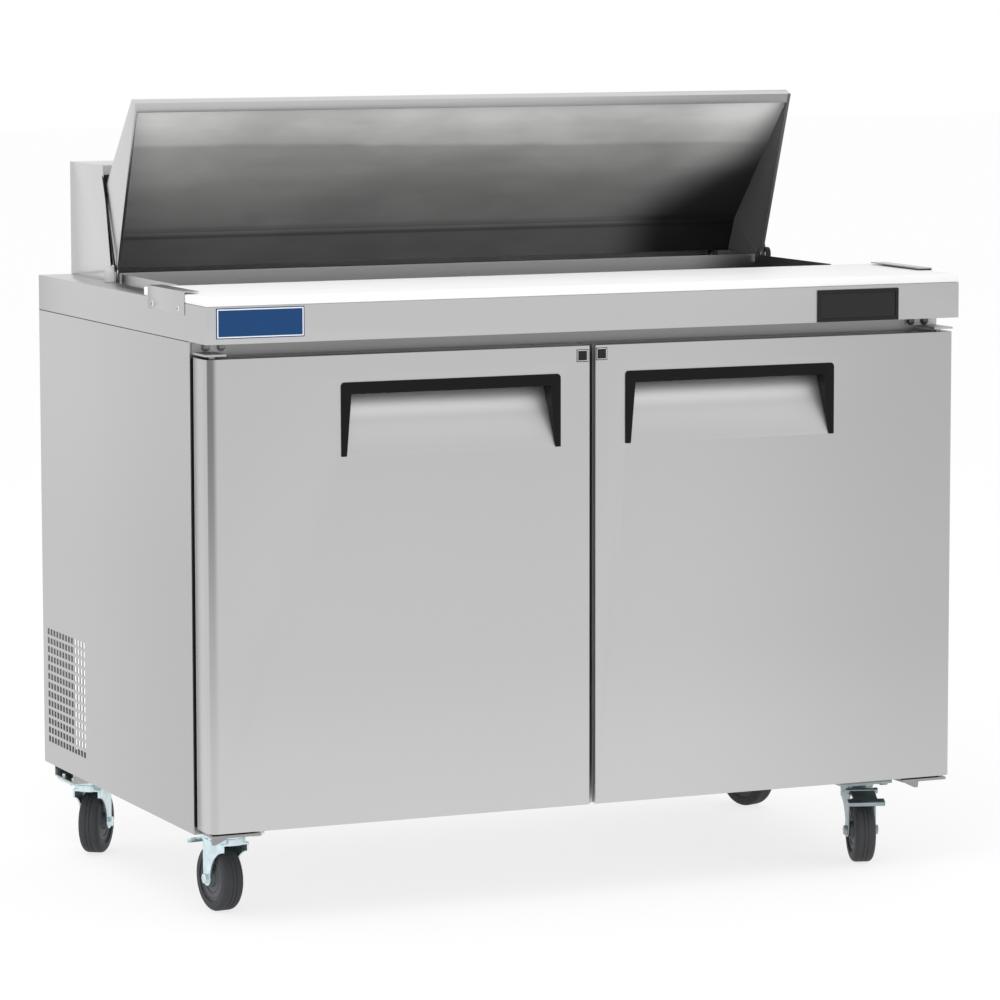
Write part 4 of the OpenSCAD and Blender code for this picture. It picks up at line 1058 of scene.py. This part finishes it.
class PREPTABLE_OT_fasteners(bpy.types.Operator):
    """Adds the hinge bolts, the screws at the clips and back, the seams, black strips at the hood's front,
    and painted shade in the door gaps and screw slots
    """

    bl_idname = "preptable.fasteners"
    bl_label = "Fasteners and seams"

    def hex_bolt(self, place, way, across, height):
        """A hex head on a washer, standing on a face and pointing along way."""
        place, way = Vector(place), Vector(way).normalized()
        washer = rod("washer", place, place + way * mm(1.0), across * 0.62, 32)
        head = rod("head", place + way * mm(0.9), place + way * (mm(1.0) + height), across * 0.5, 6)
        eased(head, mm(0.5), 2, 20)
        return [eased(washer, mm(0.25), 1, 20), head]

    def domed_screw(self, place, way, radius, height):
        """A pan head standing on a face and pointing along way."""
        centre = mm(0.02)
        angles = [i * math.pi / 14 for i in range(7)]
        dome = [(radius * math.cos(a), height * (0.25 + 0.75 * math.sin(a))) for a in angles]
        profile = [(centre, 0.0), (radius, 0.0), *dome, (centre, height)]
        return lathe("screw", profile, place, way, 24)

    def cross_slot(self, place, way, size, lift):
        """Two dark bars on an upright face, painted shade that stands for the recess of a cross slot."""
        way, side = Vector(way), Vector((0, 0, 1))
        other = way.cross(side)
        top = Vector(place) + way * lift
        bars = []
        for along, across in ((side, other), (other, side)):
            reach = along * size / 2 + across * size / 9 + way * mm(0.12)
            ends = list(zip(top - reach, top + reach))
            bars.append(block("slot", [min(pair) for pair in ends], [max(pair) for pair in ends]))
        return bars

    def execute(self, context):
        leg_inset, bolt_insets, bolt_drop = mm(3), (mm(20), mm(44)), mm(6.5)
        clip_inset, clip_rise = mm(23), mm(8)
        bolts, screws, slots = [], [], []
        _, hinge = body_place("top_hinges")
        clip_low, clip_high = body_place("board_clips")
        for side in (-1, 1):
            for inset in bolt_insets:
                place = (side * (hinge.x - inset), hinge.y - leg_inset, hinge.z - bolt_drop)
                bolts += self.hex_bolt(place, (0, -1, 0), mm(11), mm(4))
            for y in (clip_low.y + clip_inset, clip_high.y - clip_inset):
                place, way = (side * clip_high.x, y, clip_low.z + clip_rise), (side, 0, 0)
                screws.append(self.domed_screw(place, way, mm(4.2), mm(2)))
                slots += self.cross_slot(place, way, mm(4.2), mm(1.95))
        heads = fitted(joined("hinge_bolts", bolts), "bolt_grey", "cabinet")
        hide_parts("small_bolts")
        sheet_low, sheet_high = body_place("back_panel")
        hood_low, hood_high = body_place("hood")
        middle = (sheet_high.z + sheet_low.z) / 2
        # Height, face, count, first place, pitch, and radius and height of the heads.
        back_rows = (
            (sheet_high.z - mm(18), sheet_high.y, 6, -mm(530), mm(212), mm(3.6), mm(1.1)),
            (middle + mm(60), sheet_high.y, 6, -mm(530), mm(212), mm(3.6), mm(1.1)),
            (hood_low.z + mm(14), hood_high.y, 5, -mm(480), mm(240), mm(4), mm(1.8)),
        )
        for z, y, count, start, pitch, radius, height in back_rows:
            for i in range(count):
                screws.append(self.domed_screw((start + i * pitch, y, z), (0, 1, 0), radius, height))
        fitted(joined("pan_screws", screws), "zinc", "cabinet")
        fitted(joined("screw_slots", slots), "seal_and_shade_black", "cabinet")
        slab = body_place("worktop")[0].z
        side_low, side_high = body_place("right_side_panel")
        seams = mirrored_blocks(
            (side_high.x, side_low.y + mm(2), slab - mm(1.0)),
            (side_high.x + mm(0.15), side_high.y - mm(1), slab),
        )
        fitted(joined("worktop_seams", seams), "seal_and_shade_black", "cabinet")
        self.door_gap_strips()
        self.hood_edge_strips()
        return {"FINISHED"}

    def door_gap_strips(self):
        """Black strips on the face frame, painted shade in the gap beside each door."""
        low, high = body_place("front_frame")
        door_low, door_high = body_place("right_door_skin")
        strips = mirrored_blocks(
            (high.x - mm(13), low.y - mm(0.6), door_low.z + mm(2)),
            (high.x - mm(0.2), low.y - mm(0.05), door_high.z - mm(2)),
        )
        fitted(joined("door_gap_strips", strips), "seal_and_shade_black", "cabinet")

    def hood_edge_strips(self):
        """Black strips along the front edge of the hood's sides."""
        hood = bpy.data.objects["hood_skin"]
        low, high = body_place("hood")
        walls = [v.co for v in hood.data.vertices if abs(v.co.x) > high.x - mm(1.5)]
        foot = min((v for v in walls if v.z < low.z + mm(3)), key=lambda v: v.y)
        head = min((v for v in walls if v.z > high.z - mm(3)), key=lambda v: v.y)
        start, end = Vector((foot.y, foot.z + mm(16))), Vector((head.y, head.z - mm(14)))
        parts = mirrored_blocks((high.x - mm(1.2), 0, 0), (high.x + mm(0.1), 1, 1))
        for strip in parts:
            for vertex in strip.data.vertices:
                spot = end if vertex.co.z > 0.5 else start
                vertex.co.z = spot.y
                vertex.co.y = spot.x + (mm(1.2) if vertex.co.y > 0.5 else -mm(2.8))
        fitted(joined("hood_edge_strips", parts), "seal_and_shade_black", "cabinet")


class PREPTABLE_OT_machine(bpy.types.Operator):
    """Adds the copper pipes and the weld band of the cooling unit"""

    bl_idname = "preptable.machine"
    bl_label = "Cooling unit"

    def execute(self, context):
        low, high = body_place("compressor")
        x = (low.x + high.x) / 2
        y = (low.y + high.y) / 2 - mm(4)
        top = high.z
        _, coil = body_place("condenser_coil")
        row = coil.y - mm(12)

        def route(*offsets):
            """Places given in millimetres from the compressor's top."""
            return [(x + mm(dx), y + mm(dy), top + mm(dz)) for dx, dy, dz in offsets]

        hot = route((-55, -20, -60), (-75, -20, -60), (-84, -20, -20), (-84, 30, 12)) + [
            (x - mm(180), row, top + mm(12)),
            (coil.x + mm(26), row, top + mm(10)),
            (coil.x + mm(16), row, coil.z - mm(34)),
            (coil.x - mm(2), row, coil.z - mm(36)),
        ]
        cold = route(
            (-40, 40, -50), (-56, 56, -50), (-60, 60, -10), (-60, 20, 48), (-60, -60, 62), (-60, -88, 62)
        )
        pipes = [tube("pipe", hot, mm(4)), tube("pipe", cold, mm(5))]
        fitted(joined("copper_lines", pipes), "copper", "cabinet")
        band = lathe(
            "weld_band",
            [(mm(65), -mm(5)), (mm(68), -mm(4)), (mm(68), mm(4)), (mm(65), mm(5))],
            (x, (low.y + high.y) / 2, low.z + mm(98)),
            (0, 0, 1),
            64,
        )
        fitted(band, "compressor_paint", "cabinet")
        return {"FINISHED"}


class PREPTABLE_OT_stage(bpy.types.Operator):
    """Sets the pale floor, the studio light and the camera"""

    bl_idname = "preptable.stage"
    bl_label = "Stage"

    def backdrop_rays(self, tree):
        """1 for the rays that should meet a white backdrop, else 0."""
        rays = tree.nodes.new("ShaderNodeLightPath")
        camera, glossy, through = (
            Socket(tree, rays.outputs[name])
            for name in ("Is Camera Ray", "Is Glossy Ray", "Is Transmission Ray")
        )
        return (camera + glossy + through).clamped()

    def floor(self):
        """A pale floor that looks white and still takes the shadow."""
        glow_strength, glow_share = 1.06, 0.72
        clear_selection()
        bpy.ops.mesh.primitive_plane_add(size=60, location=(0, 0, -mm(0.3)))
        piece = settle(named("studio_floor"))
        fin = Finish("floor_white")
        tone = fin.noise(0.6, 1.0)
        fin.set(Base_Color=fin.blend(tone, (0.93, 0.93, 0.93), (0.95, 0.95, 0.95)), Roughness=0.8)
        glow = fin.tree.nodes.new("ShaderNodeEmission")
        glow.inputs["Strength"].default_value = glow_strength
        mix = fin.tree.nodes.new("ShaderNodeMixShader")
        factor = self.backdrop_rays(fin.tree) * glow_share
        fin.tree.links.new(factor.socket, mix.inputs[0])
        fin.tree.links.new(fin.shader.outputs[0], mix.inputs[1])
        fin.tree.links.new(glow.outputs[0], mix.inputs[2])
        fin.tree.links.new(mix.outputs[0], fin.tree.nodes["Material Output"].inputs[0])
        paint(piece, "floor_white")
        piece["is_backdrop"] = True

    def sky(self):
        """An even studio, white where it shows."""
        world = bpy.data.worlds.new("studio")
        bpy.context.scene.world = world
        world.use_nodes = True
        tree = world.node_tree
        ground = tree.nodes["Background"]
        coords = tree.nodes.new("ShaderNodeTexCoord")
        split = tree.nodes.new("ShaderNodeSeparateXYZ")
        tree.links.new(coords.outputs["Generated"], split.inputs[0])
        rise = Socket(tree, split.outputs[2])
        level = rise.span(-0.2, 0.9, to_low=0.9, to_high=0.8)
        seen = self.backdrop_rays(tree)
        strength = level * (1.0 - seen) + seen
        tree.links.new(strength.socket, ground.inputs["Strength"])
        ground.inputs["Color"].default_value = (1.0, 1.0, 1.0, 1.0)

    def lamp(self, name, place, aim, size, watts):
        """A large soft light that leaves no mark of its own in the steel."""
        clear_selection()
        bpy.ops.object.light_add(type="AREA", location=place)
        piece = bpy.context.active_object
        piece.name = name
        piece.data.shape = "RECTANGLE"
        piece.data.size, piece.data.size_y = size
        piece.data.energy = watts
        piece.rotation_euler = (Vector(aim) - Vector(place)).to_track_quat("-Z", "Y").to_euler()
        piece.visible_glossy = False

    def camera(self):
        """The camera that took the photograph, as fitted to it."""
        lens = bpy.data.cameras.new("camera")
        piece = bpy.data.objects.new("camera", lens)
        bpy.context.collection.objects.link(piece)
        lens.lens = LENS
        lens.sensor_width = SENSOR
        lens.sensor_fit = "AUTO"
        lens.clip_start, lens.clip_end = 0.1, 100.0
        piece.matrix_world = Matrix.Translation(CAMERA_PLACE) @ camera_turn().to_4x4()
        bpy.context.scene.camera = piece

    def execute(self, context):
        self.floor()
        self.sky()
        self.lamp("key", place=(-3.0, -3.4, 5.2), aim=(0, 0, 0.7), size=(3.6, 3.0), watts=125)
        self.lamp("fill", place=(4.2, -3.6, 3.0), aim=(0, 0, 0.6), size=(3.2, 3.2), watts=25)
        self.camera()
        context.scene.view_settings.view_transform = "Standard"
        return {"FINISHED"}


class PREPTABLE_PT_panel(bpy.types.Panel):
    """Lists the steps that dress the prep table"""

    bl_idname = "PREPTABLE_PT_panel"
    bl_label = "Prep Table"
    bl_space_type = "VIEW_3D"
    bl_region_type = "UI"
    bl_category = "Prep Table"

    def draw(self, context):
        layout = self.layout
        for settings in (context.scene.prep_table_sizes, context.scene.prep_table_colours):
            column = layout.column()
            for key in settings.__annotations__:
                column.prop(settings, key)
        for operator in STEPS:
            layout.operator(operator.bl_idname)


STEPS = (
    PREPTABLE_OT_finishes,
    PREPTABLE_OT_sheets,
    PREPTABLE_OT_board,
    PREPTABLE_OT_handles,
    PREPTABLE_OT_front_fittings,
    PREPTABLE_OT_casters,
    PREPTABLE_OT_fasteners,
    PREPTABLE_OT_machine,
    PREPTABLE_OT_stage,
)
CLASSES = (TableSizes, TableColours, *STEPS, PREPTABLE_PT_panel)


def register():
    for item in CLASSES:
        bpy.utils.register_class(item)
    bpy.types.Scene.prep_table_sizes = PointerProperty(type=TableSizes)
    bpy.types.Scene.prep_table_colours = PointerProperty(type=TableColours)


def unregister():
    del bpy.types.Scene.prep_table_colours
    del bpy.types.Scene.prep_table_sizes
    for item in reversed(CLASSES):
        bpy.utils.unregister_class(item)


def main():
    register()
    bpy.ops.preptable.finishes()
    bpy.ops.preptable.sheets()
    bpy.ops.preptable.board()
    bpy.ops.preptable.handles()
    bpy.ops.preptable.front_fittings()
    bpy.ops.preptable.casters()
    bpy.ops.preptable.fasteners()
    bpy.ops.preptable.machine()
    bpy.ops.preptable.stage()
    write_points()


if __name__ == "__main__":
    main()
